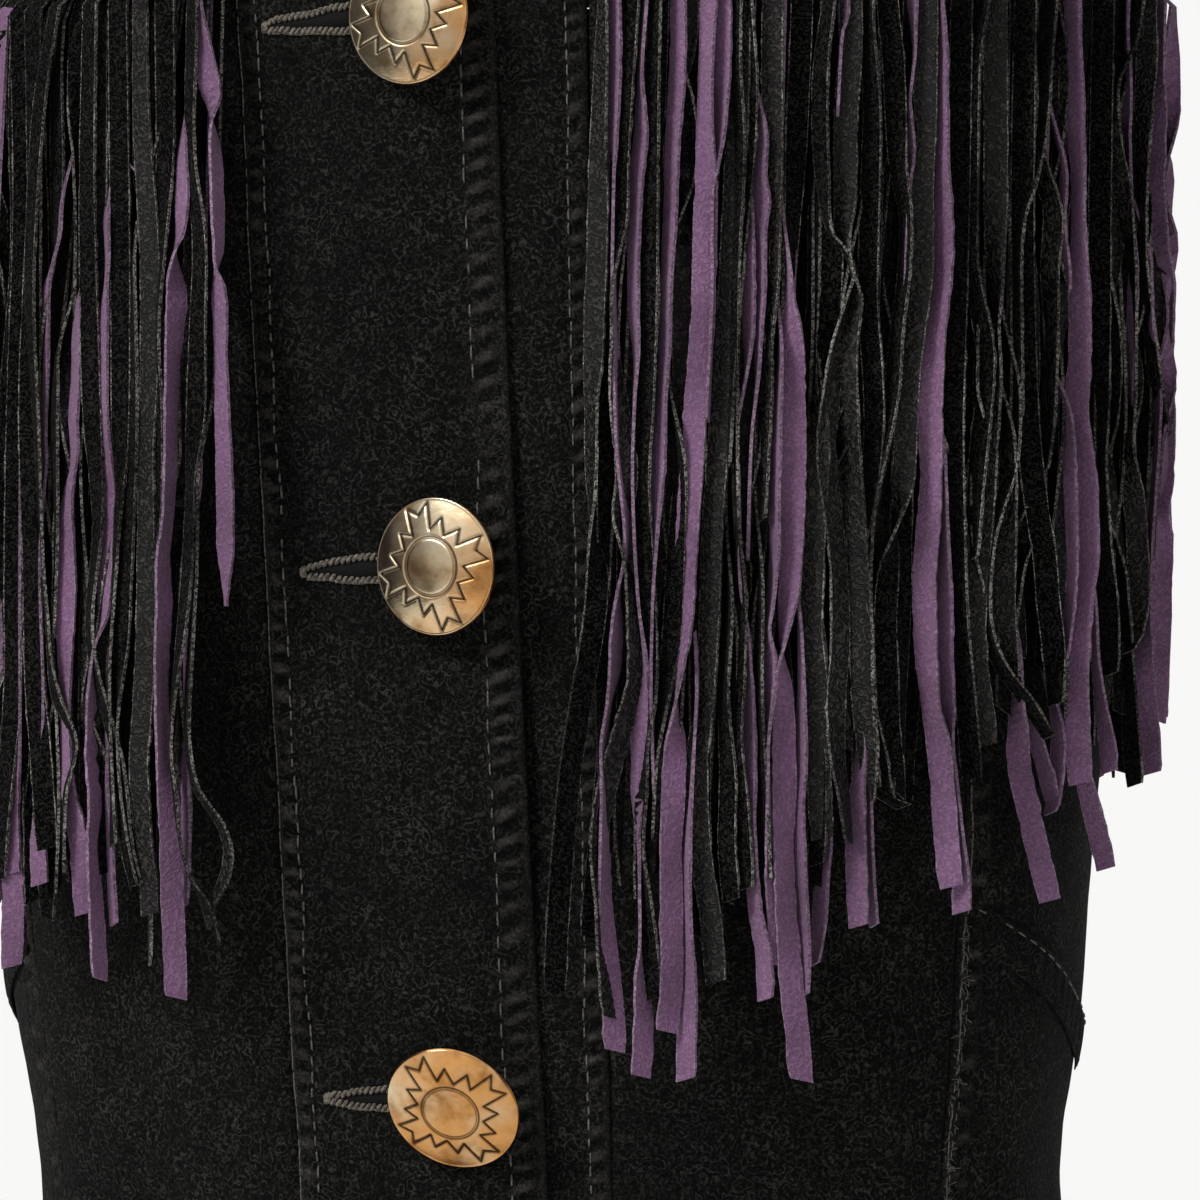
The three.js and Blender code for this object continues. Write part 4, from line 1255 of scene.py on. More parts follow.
# Fringe strands in front, listed one by one: leather, stand-off from the body, share of the
# full width, kind of tip, and the angle, height and turn at each place down the length.
# P is purple, K black with its suede side out and G black with its grain side out. Tips are
# cut with a slight slant at 0, tapered at 1 and cut steeply at 2
STRANDS = [
    ("P", 12.5, 1.00, 1, [
        (-17.5, 403, 60), (-16.6, 389, 35), (-16.0, 380, 20), (-15.6, 374, 60), (-15.7, 370, 88),
        (-15.3, 361, 115), (-15.0, 347, 117), (-14.8, 334, 108), (-15.0, 330, 92), (-14.6, 323, 52),
        (-14.3, 305, 58), (-14.0, 287, 48), (-13.6, 265, 42), (-13.4, 248, 45), (-13.3, 237, 50),
    ]),
    ("P", 12.5, 1.00, 0, [
        (-19.1, 376, 88), (-18.6, 362, 68), (-18.4, 348, 54), (-18.6, 339, 70),
        (-19.1, 334, 90), (-18.8, 323, 145), (-18.9, 313, 135), (-19.1, 302, 122), (-19.1, 273, 116),
        (-19.3, 259, 113), (-19.6, 252, 118), (-19.4, 238, 127), (-19.5, 224, 121), (-19.4, 210, 118),
        (-19.1, 196, 122), (-18.5, 184, 150), (-18.0, 162, 163), (-17.3, 130, 178),
    ]),
    ("P", 12.0, 1.00, 0, [
        (-27.1, 360, 86), (-26.7, 349, 76), (-26.3, 335, 78), (-26.4, 327, 80),
        (-26.6, 317, 62), (-26.6, 303, 60), (-26.4, 288, 58), (-25.8, 270, 38), (-25.8, 260, 44),
        (-25.8, 245, 48), (-25.9, 235, 62), (-26.7, 228, 85), (-26.9, 221, 100), (-26.7, 210, 126),
        (-26.7, 196, 127), (-26.4, 184, 118), (-26.5, 171, 115), (-25.9, 151, 122), (-25.4, 135, 127),
    ]),
    ("P", 11.5, 1.00, 0, [
        (-29.7, 337, 88), (-29.8, 314, 66), (-29.8, 300, 64), (-30.0, 292, 64),
        (-29.8, 281, 66), (-30.2, 273, 68), (-30.6, 265, 55), (-30.4, 253, 42), (-30.4, 239, 28),
        (-30.5, 225, 38), (-30.3, 212, 60), (-30.1, 201, 62), (-29.6, 187, 50), (-28.7, 178, 35),
        (-27.8, 165, 20), (-27.4, 153, 14),
    ]),
    ("P", 10.5, 0.95, 0, [
        (-32.7, 365, 85), (-32.6, 343, 78), (-33.5, 333, 82), (-34.2, 326, 66),
        (-34.1, 308, 66), (-34.2, 289, 66), (-34.0, 278, 68), (-33.9, 271, 82), (-34.1, 251, 90),
        (-33.4, 212, 84), (-33.7, 187, 72), (-33.6, 173, 45), (-33.3, 161, 28),
    ]),
    ("P", 9.5, 1.00, 0, [
        (-37.6, 297, 88), (-37.1, 241, 90), (-36.9, 213, 85), (-37.1, 196, 70), (-37.7, 185, 46),
        (-37.7, 173, 36), (-37.5, 164, 30),
    ]),
    ("P", 9.0, 1.00, 0, [
        (-39.5, 241, 80), (-38.2, 185, 50), (-37.5, 159, 12), (-37.4, 148, 6), (-37.4, 138, 2),
    ]),
    ("P", 9.0, 1.00, 0, [
        (-42.2, 410, 40), (-42.1, 393, 55), (-42.0, 368, 75), (-42.1, 325, 85), (-40.8, 252, 80),
        (-40.1, 230, 78), (-40.4, 207, 70), (-40.6, 155, 30),
    ]),
    ("P", 8.0, 0.90, 0, [
        (-26.5, 240, 88), (-26.4, 190, 78), (-25.9, 176, 66), (-25.5, 162, 68), (-25.1, 150, 64),
    ]),
    ("P", 7.0, 0.90, 0, [
        (-18.8, 261, 85), (-18.5, 228, 72), (-18.3, 201, 64), (-17.9, 168, 60), (-17.9, 155, 66),
    ]),
    ("P", 9.0, 0.90, 0, [
        (-25.8, 406, 78), (-25.7, 389, 82), (-25.2, 361, 88), (-22.7, 354, 86), (-22.2, 348, 84),
        (-22.3, 333, 90), (-23.0, 267, 92),
    ]),
    ("K", 13.5, 0.95, 2, [
        (-17.6, 392, 60), (-17.5, 362, 62), (-16.4, 337, 50), (-16.4, 313, 40), (-16.4, 290, 25),
        (-16.7, 273, 60), (-16.8, 252, 58), (-17.3, 231, 64), (-17.8, 217, 76), (-18.1, 206, 82),
        (-18.1, 196, 85), (-17.7, 187, 80), (-16.9, 171, 84), (-15.8, 162, 82), (-14.6, 157, 68),
        (-13.5, 147, 55),
    ]),
    ("G", 13.0, 0.90, 2, [
        (-16.2, 288, 88), (-16.1, 250, 84), (-16.4, 233, 75), (-16.6, 217, 74), (-16.6, 201, 76),
        (-15.8, 188, 70), (-14.7, 183, 66), (-13.4, 178, 66), (-12.6, 172, 66), (-12.5, 167, 62),
        (-12.9, 162, 58), (-13.7, 157, 66), (-14.4, 151, 70),
    ]),
    ("G", 12.8, 1.00, 0, [
        (-23.1, 405, 50), (-22.7, 372, 40), (-21.5, 333, 25), (-21.3, 300, 35), (-21.4, 280, 45),
        (-21.1, 239, 28), (-21.1, 223, 24), (-21.3, 206, 26), (-21.5, 195, 30), (-21.2, 184, 30),
        (-20.8, 173, 40), (-20.2, 162, 36), (-20.0, 153, 30),
    ]),
    ("K", 12.0, 1.00, 0, [
        (-23.6, 350, 85), (-23.2, 289, 60), (-23.7, 239, 45), (-24.0, 228, 34), (-24.1, 217, 62),
        (-24.1, 206, 84), (-23.7, 195, 96), (-23.0, 184, 108), (-22.3, 173, 105), (-21.4, 161, 100),
    ]),
    ("K", 11.5, 1.05, 0, [
        (-38.2, 409, 20), (-37.0, 352, 10), (-37.3, 296, 15), (-37.2, 241, 30), (-37.0, 224, 36),
        (-37.2, 207, 36), (-37.8, 190, 44), (-38.3, 173, 50), (-38.6, 162, 40),
    ]),
    ("K", 12.6, 1.05, 0, [
        (-35.9, 408, 40), (-35.2, 352, 50), (-35.2, 296, 20), (-34.4, 251, 34), (-34.1, 235, 34),
        (-33.7, 218, 30), (-32.9, 201, 18), (-32.2, 185, 16), (-31.7, 171, 12),
    ]),
    ("K", 13.8, 0.90, 0, [
        (-32.5, 407, 60), (-34.2, 380, 50), (-34.9, 352, 55), (-35.0, 324, 60), (-33.8, 290, 72),
        (-32.6, 251, 82), (-31.9, 235, 80), (-31.4, 223, 76), (-30.4, 212, 60), (-29.1, 206, 66),
        (-28.2, 200, 76), (-28.5, 194, 80), (-29.2, 187, 78), (-29.3, 176, 82), (-29.2, 165, 86),
    ]),
    ("K", 12.8, 1.00, 0, [
        (-28.7, 401, 50), (-28.5, 351, 42), (-27.5, 295, 30), (-26.5, 262, 60), (-27.1, 229, 70),
        (-23.7, 195, 60), (-22.5, 171, 55), (-21.5, 161, 50),
    ]),
    ("K", 12.2, 1.00, 0, [
        (-25.7, 403, 30), (-25.0, 350, 25), (-24.6, 314, 28), (-24.4, 284, 35), (-24.7, 262, 60),
        (-24.9, 245, 70), (-25.0, 218, 86), (-24.4, 184, 80), (-24.2, 172, 70),
    ]),
    ("K", 12.2, 1.00, 0, [
        (-20.7, 404, 30), (-20.3, 363, 35), (-20.6, 335, 60), (-20.9, 313, 70), (-20.5, 289, 60),
        (-20.7, 261, 45), (-21.0, 250, 70),
    ]),
    ("K", 11.8, 1.00, 0, [
        (-31.9, 324, 88), (-32.2, 290, 70), (-31.7, 257, 78), (-31.7, 229, 86),
    ]),
    ("P", 12.0, 1.00, 0, [
        (18.8, 398, 55), (19.0, 382, 57), (19.0, 365, 64), (19.0, 357, 70), (19.1, 351, 86),
        (19.4, 317, 100), (20.2, 277, 112), (20.9, 258, 110), (20.8, 247, 96), (20.3, 239, 95),
        (20.2, 228, 118), (20.1, 218, 116), (19.7, 208, 100), (19.4, 198, 108), (19.6, 187, 114),
        (19.6, 175, 112), (19.7, 156, 120), (20.2, 139, 140), (20.7, 123, 160), (20.8, 115, 166),
    ]),
    ("P", 11.6, 1.00, 0, [
        (21.5, 398, 82), (21.2, 378, 80), (21.4, 361, 58), (21.1, 351, 54), (21.0, 342, 58),
        (21.0, 327, 64), (21.1, 314, 67), (21.4, 302, 80), (21.3, 290, 88), (21.3, 268, 91),
        (22.0, 236, 92), (22.6, 218, 72), (22.4, 208, 48), (22.4, 194, 48), (22.4, 185, 54),
        (22.4, 175, 78), (22.6, 161, 90), (22.8, 143, 94), (22.9, 135, 120), (23.2, 123, 142),
        (23.1, 108, 152),
    ]),
    ("P", 11.8, 1.00, 0, [
        (24.3, 397, 52), (24.4, 381, 50), (24.1, 360, 53), (24.0, 338, 60), (23.8, 320, 64),
        (23.8, 305, 64), (23.6, 290, 68), (23.5, 280, 58), (23.4, 269, 56), (23.2, 259, 62),
        (23.2, 249, 78), (23.2, 236, 90), (23.3, 209, 93), (23.8, 182, 96),
    ]),
    ("P", 13.6, 1.04, 0, [
        (26.8, 397, 50), (26.7, 381, 58), (26.7, 363, 50), (26.9, 347, 30), (26.9, 338, 12),
        (26.9, 314, 8), (26.6, 296, 16), (26.4, 290, 20), (26.3, 276, 22), (26.0, 259, 20),
        (25.9, 241, 34), (25.7, 228, 40), (25.4, 218, 62), (25.3, 211, 84), (25.3, 204, 110),
        (25.3, 197, 148), (25.2, 185, 170), (25.1, 169, 150), (25.3, 150, 158), (25.4, 132, 152),
        (25.1, 120, 160),
    ]),
    ("P", 12.6, 1.00, 0, [
        (27.3, 225, 98), (26.8, 185, 85), (26.6, 172, 75), (26.6, 156, 70), (26.8, 144, 68),
        (27.0, 132, 50), (26.9, 123, 40), (26.9, 107, 34),
    ]),
    ("P", 13.0, 1.00, 0, [
        (28.0, 397, 38), (28.1, 381, 44), (28.1, 369, 58), (28.0, 360, 66), (27.7, 351, 80),
        (27.5, 346, 90), (27.7, 316, 94), (27.5, 284, 100),
    ]),
    ("P", 11.8, 1.00, 0, [
        (31.6, 375, 88), (31.8, 360, 60), (31.7, 350, 54), (32.0, 343, 52), (31.9, 334, 64),
        (32.0, 320, 66), (31.9, 308, 72), (31.9, 296, 84), (31.5, 279, 92), (31.4, 246, 94),
    ]),
    ("P", 11.4, 1.00, 0, [
        (31.4, 346, 88), (31.1, 338, 74), (30.8, 331, 56), (30.9, 320, 54), (31.0, 308, 60),
        (30.9, 297, 84), (30.1, 281, 84), (30.2, 269, 76), (30.5, 252, 82), (30.8, 238, 86),
        (31.2, 228, 70), (31.6, 214, 64), (31.9, 200, 58), (32.0, 186, 58), (32.1, 174, 62),
        (32.5, 159, 60), (32.9, 150, 58), (33.6, 141, 50), (33.9, 128, 46),
    ]),
    ("P", 13.2, 1.08, 0, [
        (34.3, 338, 90), (34.4, 321, 78), (34.5, 314, 60), (34.8, 305, 25), (35.0, 290, 4),
        (35.2, 276, 4), (35.2, 262, 14), (35.1, 241, 34), (34.8, 231, 58), (34.5, 221, 92),
        (34.6, 211, 140), (34.8, 198, 160), (34.9, 186, 162), (35.0, 168, 140), (35.4, 150, 146),
        (35.9, 134, 160), (36.6, 119, 168), (37.1, 106, 172),
    ]),
    ("P", 12.6, 1.10, 0, [
        (34.0, 316, 90), (33.8, 295, 80), (33.6, 279, 69), (33.6, 262, 70), (33.7, 248, 72),
        (33.4, 234, 76), (33.2, 227, 80), (33.5, 219, 60), (33.5, 210, 66), (33.4, 199, 84),
        (33.6, 189, 95), (33.8, 180, 106), (34.0, 174, 116), (34.4, 162, 142), (34.8, 150, 165),
        (34.9, 137, 172),
    ]),
    ("P", 11.8, 0.95, 0, [
        (36.0, 246, 90), (36.5, 214, 78), (36.6, 192, 60), (36.5, 180, 64), (36.8, 162, 60),
        (37.3, 143, 64), (37.5, 129, 72),
    ]),
    ("P", 9.0, 0.95, 0, [
        (39.1, 235, 90), (39.5, 187, 84), (39.5, 171, 56), (39.3, 162, 54), (39.1, 149, 56),
        (38.7, 137, 64),
    ]),
    ("P", 10.0, 1.00, 0, [
        (42.6, 214, 88), (42.7, 193, 66), (42.4, 184, 52), (42.3, 174, 34), (42.5, 161, 30),
        (42.8, 147, 28),
    ]),
    ("P", 8.4, 0.90, 0, [
        (43.6, 208, 85), (43.9, 181, 80), (44.3, 158, 72), (44.7, 147, 68),
    ]),
    ("P", 11.5, 1.00, 0, [
        (39.1, 397, 60), (39.1, 392, 66), (39.0, 388, 86), (38.8, 365, 92),
    ]),
    ("P", 11.0, 1.00, 0, [
        (46.0, 397, 62), (46.2, 391, 76), (46.4, 382, 88), (46.0, 370, 88), (45.9, 363, 68),
        (46.1, 356, 64), (46.1, 349, 80), (46.0, 335, 90), (45.9, 308, 92),
    ]),
    ("P", 13.2, 1.10, 0, [
        (48.7, 397, 86), (48.7, 394, 80), (48.9, 383, 68), (48.9, 373, 64), (49.0, 363, 61),
        (49.1, 352, 58), (49.3, 342, 46), (49.5, 332, 42), (49.5, 321, 50), (49.0, 311, 44),
        (48.6, 301, 28), (48.4, 289, 12), (48.5, 282, 22), (48.7, 268, 38), (48.5, 254, 22),
        (48.2, 241, 26), (48.4, 227, 26), (48.7, 216, 38), (49.2, 206, 50), (50.1, 196, 28),
        (50.6, 185, 18), (51.5, 163, 14), (51.9, 157, 10),
    ]),
    ("P", 12.2, 1.00, 0, [
        (50.2, 289, 88), (50.3, 267, 80), (50.5, 248, 66), (50.7, 234, 48), (50.8, 220, 48),
        (51.2, 206, 50), (51.6, 196, 75), (52.2, 185, 76), (53.0, 170, 74), (53.3, 159, 50),
        (53.4, 150, 35),
    ]),
    ("P", 13.2, 1.10, 0, [
        (65.2, 399, 54), (65.3, 388, 54), (65.8, 374, 48), (66.1, 364, 54), (66.6, 353, 60),
        (66.8, 343, 66), (67.0, 333, 60), (67.3, 322, 48), (67.4, 315, 34), (67.5, 301, 30),
        (67.2, 289, 14), (67.4, 282, 24), (69.0, 268, 30), (69.5, 254, 32), (69.7, 244, 38),
        (68.9, 233, 42), (68.4, 223, 30), (68.2, 212, 28), (68.5, 198, 14), (69.1, 184, 8),
    ]),
    ("P", 12.4, 1.00, 0, [
        (65.2, 300, 85), (65.9, 284, 58), (66.5, 268, 52), (67.0, 247, 50), (67.0, 233, 64),
        (66.7, 218, 85),
    ]),
    ("P", 12.6, 0.95, 0, [
        (70.8, 251, 85), (71.2, 226, 70), (71.7, 216, 68), (73.0, 205, 60), (74.4, 196, 48),
        (75.2, 187, 40),
    ]),
    ("P", 12.0, 0.95, 0, [
        (65.1, 366, 88), (65.0, 350, 76), (64.5, 339, 66), (64.7, 333, 62), (65.6, 325, 72),
        (66.1, 319, 86),
    ]),
    ("P", 11.8, 0.95, 0, [
        (76.2, 389, 88), (76.3, 380, 72), (76.3, 369, 64), (76.9, 364, 84), (78.3, 340, 88),
        (79.1, 329, 78), (78.9, 323, 68), (79.0, 309, 70), (79.3, 293, 86), (81.2, 257, 90),
    ]),
    ("P", 12.2, 1.00, 0, [
        (85.7, 391, 70), (85.2, 379, 58), (85.1, 370, 38), (85.0, 359, 38), (84.8, 352, 36),
        (86.4, 342, 42), (89.5, 332, 58), (97.1, 322, 54), (97.0, 311, 60), (97.1, 296, 56),
        (95.6, 284, 28), (93.7, 269, 22), (91.4, 259, 38), (97.1, 248, 22), (97.0, 234, 45),
        (97.0, 219, 55), (97.0, 208, 54), (97.0, 201, 44),
    ]),
    ("P", 12.4, 1.10, 0, [
        (81.9, 346, 86), (82.5, 323, 70), (83.9, 310, 76), (86.7, 299, 72), (88.3, 282, 84),
        (85.6, 251, 80), (84.7, 229, 70), (83.5, 218, 30), (83.7, 212, 12), (86.0, 201, 22),
        (88.5, 186, 36),
    ]),
    ("P", 9.5, 1.05, 0, [
        (60.9, 235, 88), (60.9, 207, 68), (61.0, 198, 34), (61.2, 190, 14), (62.0, 183, 12),
        (63.4, 172, 10), (64.8, 162, 10), (66.3, 152, 8),
    ]),
    ("P", 9.0, 1.00, 0, [
        (67.5, 213, 80), (67.4, 191, 56), (66.9, 180, 58), (66.3, 176, 60),
    ]),
    ("P", 8.6, 1.00, 0, [
        (69.9, 207, 70), (72.0, 188, 50), (73.8, 179, 40), (75.8, 170, 34), (77.9, 160, 34),
    ]),
    ("P", 8.2, 1.00, 0, [
        (63.1, 210, 70), (64.5, 195, 56), (65.9, 187, 52), (66.9, 180, 50),
    ]),
    ("G", 12.6, 1.00, 0, [
        (17.9, 398, 70), (17.9, 382, 58), (17.8, 360, 48), (17.9, 342, 28), (17.9, 327, 28),
        (17.8, 315, 26), (17.8, 302, 32), (17.7, 290, 58), (17.8, 273, 62), (17.9, 263, 76),
        (17.9, 257, 92), (18.2, 250, 122), (18.5, 242, 160), (18.2, 228, 166), (17.6, 215, 164),
        (17.1, 204, 164), (16.6, 191, 164), (16.1, 169, 168), (15.8, 150, 172), (15.7, 131, 176),
    ]),
    ("K", 12.9, 1.00, 0, [
        (20.2, 398, 40), (19.9, 375, 42), (19.6, 354, 36), (19.6, 339, 38), (19.3, 330, 56),
        (19.1, 320, 84), (19.4, 306, 100), (19.9, 290, 138), (20.6, 276, 160), (20.7, 266, 160),
        (20.3, 259, 132), (20.2, 254, 100), (20.7, 247, 92), (21.4, 239, 120), (21.9, 225, 142),
        (21.9, 215, 138), (20.8, 201, 142), (19.6, 185, 150), (19.0, 169, 128), (19.3, 154, 112),
        (19.8, 140, 128), (20.4, 124, 140),
    ]),
    ("K", 12.8, 0.95, 0, [
        (22.3, 397, 60), (22.2, 370, 50), (22.2, 344, 40), (22.3, 317, 40), (22.2, 290, 38),
        (22.1, 268, 50), (22.4, 247, 30), (22.8, 225, 26), (23.1, 209, 56), (22.9, 198, 80),
        (22.6, 185, 60), (22.6, 169, 74), (23.1, 155, 56), (23.6, 142, 44), (24.1, 129, 40),
    ]),
    ("K", 12.2, 0.95, 0, [
        (24.4, 295, 88), (25.3, 271, 60), (25.1, 247, 34), (24.9, 225, 30), (24.3, 209, 60),
        (23.7, 193, 80), (23.6, 172, 90),
    ]),
    ("G", 12.4, 1.00, 0, [
        (29.7, 397, 30), (29.6, 365, 20), (29.4, 338, 18), (29.1, 311, 20), (28.6, 281, 24),
        (28.2, 257, 26), (28.1, 233, 30), (27.9, 209, 40), (27.3, 193, 16), (27.7, 169, 14),
        (28.8, 150, 20), (29.3, 133, 24),
    ]),
    ("K", 12.8, 0.90, 0, [
        (29.8, 252, 88), (29.8, 230, 76), (29.5, 209, 66), (30.0, 187, 40), (30.0, 171, 34),
        (30.5, 155, 30),
    ]),
    ("K", 13.0, 1.00, 0, [
        (29.2, 381, 60), (29.6, 357, 50), (29.5, 327, 60), (29.4, 289, 45), (29.9, 279, 76),
        (30.3, 257, 84), (30.7, 236, 60), (30.6, 214, 50), (30.4, 198, 46), (30.8, 185, 34),
        (31.4, 168, 40), (31.7, 158, 46),
    ]),
    ("K", 12.9, 0.95, 0, [
        (32.5, 257, 90), (32.5, 235, 78), (32.6, 209, 76), (33.0, 187, 66), (33.4, 171, 72),
        (33.8, 160, 80),
    ]),
    ("G", 12.2, 0.95, 0, [
        (32.5, 397, 20), (32.6, 375, 18), (32.8, 357, 24), (32.9, 338, 40), (32.9, 322, 44),
        (32.7, 305, 64), (32.6, 292, 50), (32.6, 279, 60), (32.5, 257, 70),
    ]),
    ("K", 12.7, 0.95, 0, [
        (30.0, 397, 50), (30.5, 375, 40), (30.3, 354, 28), (29.8, 335, 30), (29.5, 316, 40),
        (29.3, 295, 56), (29.2, 271, 70),
    ]),
    ("G", 13.0, 1.04, 0, [
        (39.6, 397, 14), (39.7, 383, 4), (39.4, 369, 2), (39.4, 356, 10), (39.5, 342, 30),
        (39.3, 332, 56), (40.1, 325, 86), (40.7, 316, 60), (40.2, 308, 40), (39.9, 301, 24),
        (40.1, 292, 34), (40.6, 278, 50), (41.2, 257, 40), (41.7, 235, 24), (42.1, 213, 24),
        (42.6, 197, 40), (43.3, 184, 34),
    ]),
    ("G", 12.4, 1.04, 0, [
        (37.7, 295, 60), (37.6, 282, 34), (37.5, 268, 10), (37.3, 255, 14), (37.3, 241, 24),
        (37.2, 227, 16), (37.8, 213, 14), (38.1, 200, 10), (38.3, 186, 6), (38.7, 171, 10),
    ]),
    ("K", 12.9, 0.95, 0, [
        (37.6, 397, 60), (37.0, 381, 50), (37.0, 362, 46), (37.4, 348, 58), (38.2, 334, 84),
        (39.9, 329, 96), (40.6, 323, 98), (40.0, 316, 104), (39.1, 305, 120), (38.6, 292, 140),
        (38.2, 276, 150), (39.5, 246, 140), (39.9, 224, 150), (39.6, 208, 150), (39.9, 192, 130),
        (40.6, 181, 118), (41.1, 170, 110),
    ]),
    ("G", 13.0, 1.02, 0, [
        (47.2, 397, 12), (47.2, 383, 10), (47.3, 362, 16), (47.1, 349, 4), (47.2, 335, 2),
        (47.2, 321, 10), (46.6, 307, 18), (46.1, 294, 12), (45.9, 275, 2), (45.8, 266, 24),
        (45.5, 259, 70), (44.9, 250, 112), (44.4, 241, 160), (44.3, 227, 176), (44.6, 213, 176),
        (44.9, 199, 172), (45.6, 187, 170),
    ]),
    ("K", 12.9, 0.98, 0, [
        (43.2, 397, 10), (43.9, 381, 10), (44.3, 365, 20), (44.7, 351, 45), (45.5, 339, 60),
        (45.5, 324, 60), (44.9, 308, 60), (44.5, 292, 50), (43.8, 278, 60), (42.9, 262, 78),
        (42.6, 243, 84), (42.8, 224, 80), (43.0, 208, 80), (43.6, 196, 82), (43.5, 181, 86),
    ]),
    ("K", 12.4, 0.95, 0, [
        (41.4, 392, 60), (42.0, 367, 40), (42.0, 343, 30), (42.0, 316, 26), (42.8, 289, 24),
        (42.7, 270, 36), (41.9, 251, 55),
    ]),
    ("G", 12.7, 1.06, 0, [
        (54.9, 398, 4), (55.0, 391, 2), (55.2, 370, 0), (55.4, 356, 2), (55.5, 342, 14),
        (55.7, 328, 46), (55.9, 316, 70), (56.1, 309, 88), (55.9, 294, 62), (55.3, 281, 40),
        (54.8, 262, 22), (54.3, 243, 12), (54.0, 227, 6), (54.6, 213, 4), (55.4, 202, 2),
        (55.7, 195, 4),
    ]),
    ("K", 12.2, 1.00, 0, [
        (51.2, 397, 20), (51.3, 357, 14), (51.3, 316, 16), (51.3, 284, 30), (51.8, 256, 40),
        (52.5, 229, 46), (53.4, 208, 34), (54.3, 186, 24),
    ]),
    ("K", 13.1, 0.98, 0, [
        (53.6, 398, 66), (52.4, 384, 46), (52.1, 370, 36), (52.2, 339, 30), (52.5, 326, 44),
        (53.4, 316, 44), (54.5, 304, 40), (54.7, 293, 46), (54.1, 278, 40), (53.7, 262, 50),
        (53.7, 246, 70),
    ]),
    ("K", 13.4, 0.90, 0, [
        (58.4, 308, 88), (58.7, 284, 80), (58.0, 270, 64), (56.4, 260, 50), (55.5, 251, 60),
        (55.1, 237, 64), (55.3, 229, 66), (56.2, 221, 58), (57.9, 214, 48), (59.9, 209, 42),
        (62.2, 202, 44), (63.9, 197, 52),
    ]),
    ("G", 12.3, 1.05, 0, [
        (57.9, 294, 80), (57.9, 270, 50), (57.7, 247, 22), (57.7, 234, 8), (58.1, 223, 18),
        (59.0, 213, 50),
    ]),
    ("K", 12.7, 1.06, 0, [
        (58.8, 398, 30), (58.8, 371, 22), (58.9, 344, 16), (59.4, 311, 12), (60.3, 281, 8),
        (61.6, 261, 6), (62.9, 247, 4), (63.7, 233, 8), (64.5, 223, 14), (65.0, 212, 44),
        (65.1, 206, 52),
    ]),
    ("K", 13.0, 0.98, 0, [
        (61.9, 398, 50), (61.5, 385, 48), (61.1, 368, 50), (60.6, 357, 52), (59.5, 346, 60),
        (58.6, 339, 66), (58.3, 327, 70), (58.3, 305, 56), (58.8, 284, 66),
    ]),
    ("G", 12.4, 1.00, 0, [
        (62.9, 355, 50), (63.4, 338, 34), (63.0, 325, 40), (63.5, 308, 60), (63.4, 284, 66),
        (63.0, 270, 80),
    ]),
    ("K", 12.8, 1.04, 0, [
        (70.6, 400, 24), (70.6, 372, 20), (70.7, 345, 18), (71.0, 317, 16), (71.3, 290, 30),
        (71.7, 273, 60), (72.3, 256, 50), (72.9, 245, 40), (73.9, 233, 28), (74.5, 223, 40),
        (74.9, 214, 50),
    ]),
    ("G", 13.0, 0.98, 0, [
        (77.7, 401, 60), (76.4, 389, 66), (73.5, 378, 80), (72.5, 370, 60), (73.0, 359, 34),
        (74.9, 348, 36), (76.4, 337, 60), (78.1, 323, 80), (78.8, 290, 84), (77.5, 276, 60),
        (79.4, 262, 12), (80.8, 248, 14), (81.4, 235, 20), (80.4, 226, 40), (78.6, 220, 52),
    ]),
    ("G", 12.4, 1.00, 0, [
        (80.3, 401, 20), (81.0, 385, 24), (80.4, 371, 40), (80.2, 354, 60), (81.1, 329, 72),
        (83.9, 310, 66), (88.0, 291, 60), (97.0, 280, 80),
    ]),
    ("K", 11.0, 0.98, 0, [
        (77.6, 257, 70), (79.8, 223, 56), (81.1, 207, 50), (82.3, 194, 44), (83.7, 183, 44),
    ]),
    ("K", 12.5, 0.95, 0, [
        (41.9, 246, 70), (42.5, 224, 54), (42.8, 208, 50), (44.1, 192, 40), (45.0, 181, 40),
        (46.7, 179, 40),
    ]),
    ("K", 11.0, 1.00, 0, [
        (38.4, 208, 60), (38.5, 187, 50), (38.5, 173, 46), (38.4, 164, 44),
    ]),
]


def places(start, end, pitch, part):
    """Angles an even distance apart round the yoke seam."""
    angle = np.arange(start, end, 0.25)
    far = np.concatenate([[0], np.cumsum(arc_speed(angle[:-1], ROOT_HEIGHT) * 0.25)])
    return np.interp(np.arange(pitch * part, far[-1], pitch), far, angle)


def sweep(centre, facing, turn, half, slant, front, back, rng):
    """One flat strand along its centre line, with the pale cut edges as faces of their own."""
    beside = np.stack([-facing[:, 1], facing[:, 0], 0 * half], -1)
    c, s = np.cos(turn)[:, None], np.sin(turn)[:, None]
    wide, thick = c * beside + s * facing, c * facing - s * beside
    ragged = {-1: rng.normal(0, 0.13, len(half)), 1: rng.normal(0, 0.13, len(half))}
    corners = [(-1, 1), (-0.92, 1), (0.92, 1), (1, 1), (1, -1), (0.92, -1), (-0.92, -1), (-1, -1)]
    ring = []
    for w, n in corners:
        far = w * half + ragged.get(w, 0)
        ring.append(centre + wide * far[:, None] + thick * n * STRAND_THICK / 2)
    ring = np.stack(ring, 1)
    ring[-1, :, 2] += slant * np.array([w for w, _ in corners])
    last = (len(centre) - 1) * 8
    caps = np.array([(0, 1, 6, 7), (1, 2, 5, 6), (2, 3, 4, 5)])
    quads = np.concatenate([grid_quads(len(centre), 8, True)[:, ::-1], caps, last + caps[:, ::-1]])
    marks = np.concatenate([np.tile([2, front, 2, 2, 2, back, 2, 2], len(centre) - 1), [2] * 6])
    return ring.reshape(-1, 3), quads, marks


def hang_line(angle, drop, out):
    centre = body_point(angle, ROOT_HEIGHT, out)
    centre[:, 0] -= HANG_LEAN * drop
    centre[:, 2] -= drop
    return centre


# Slant, narrowing and the length that it takes, of each kind of tip
TIPS = [(0.7, 0.12, 5), (0, 0.85, 16), (-2.4, 0.12, 5)]


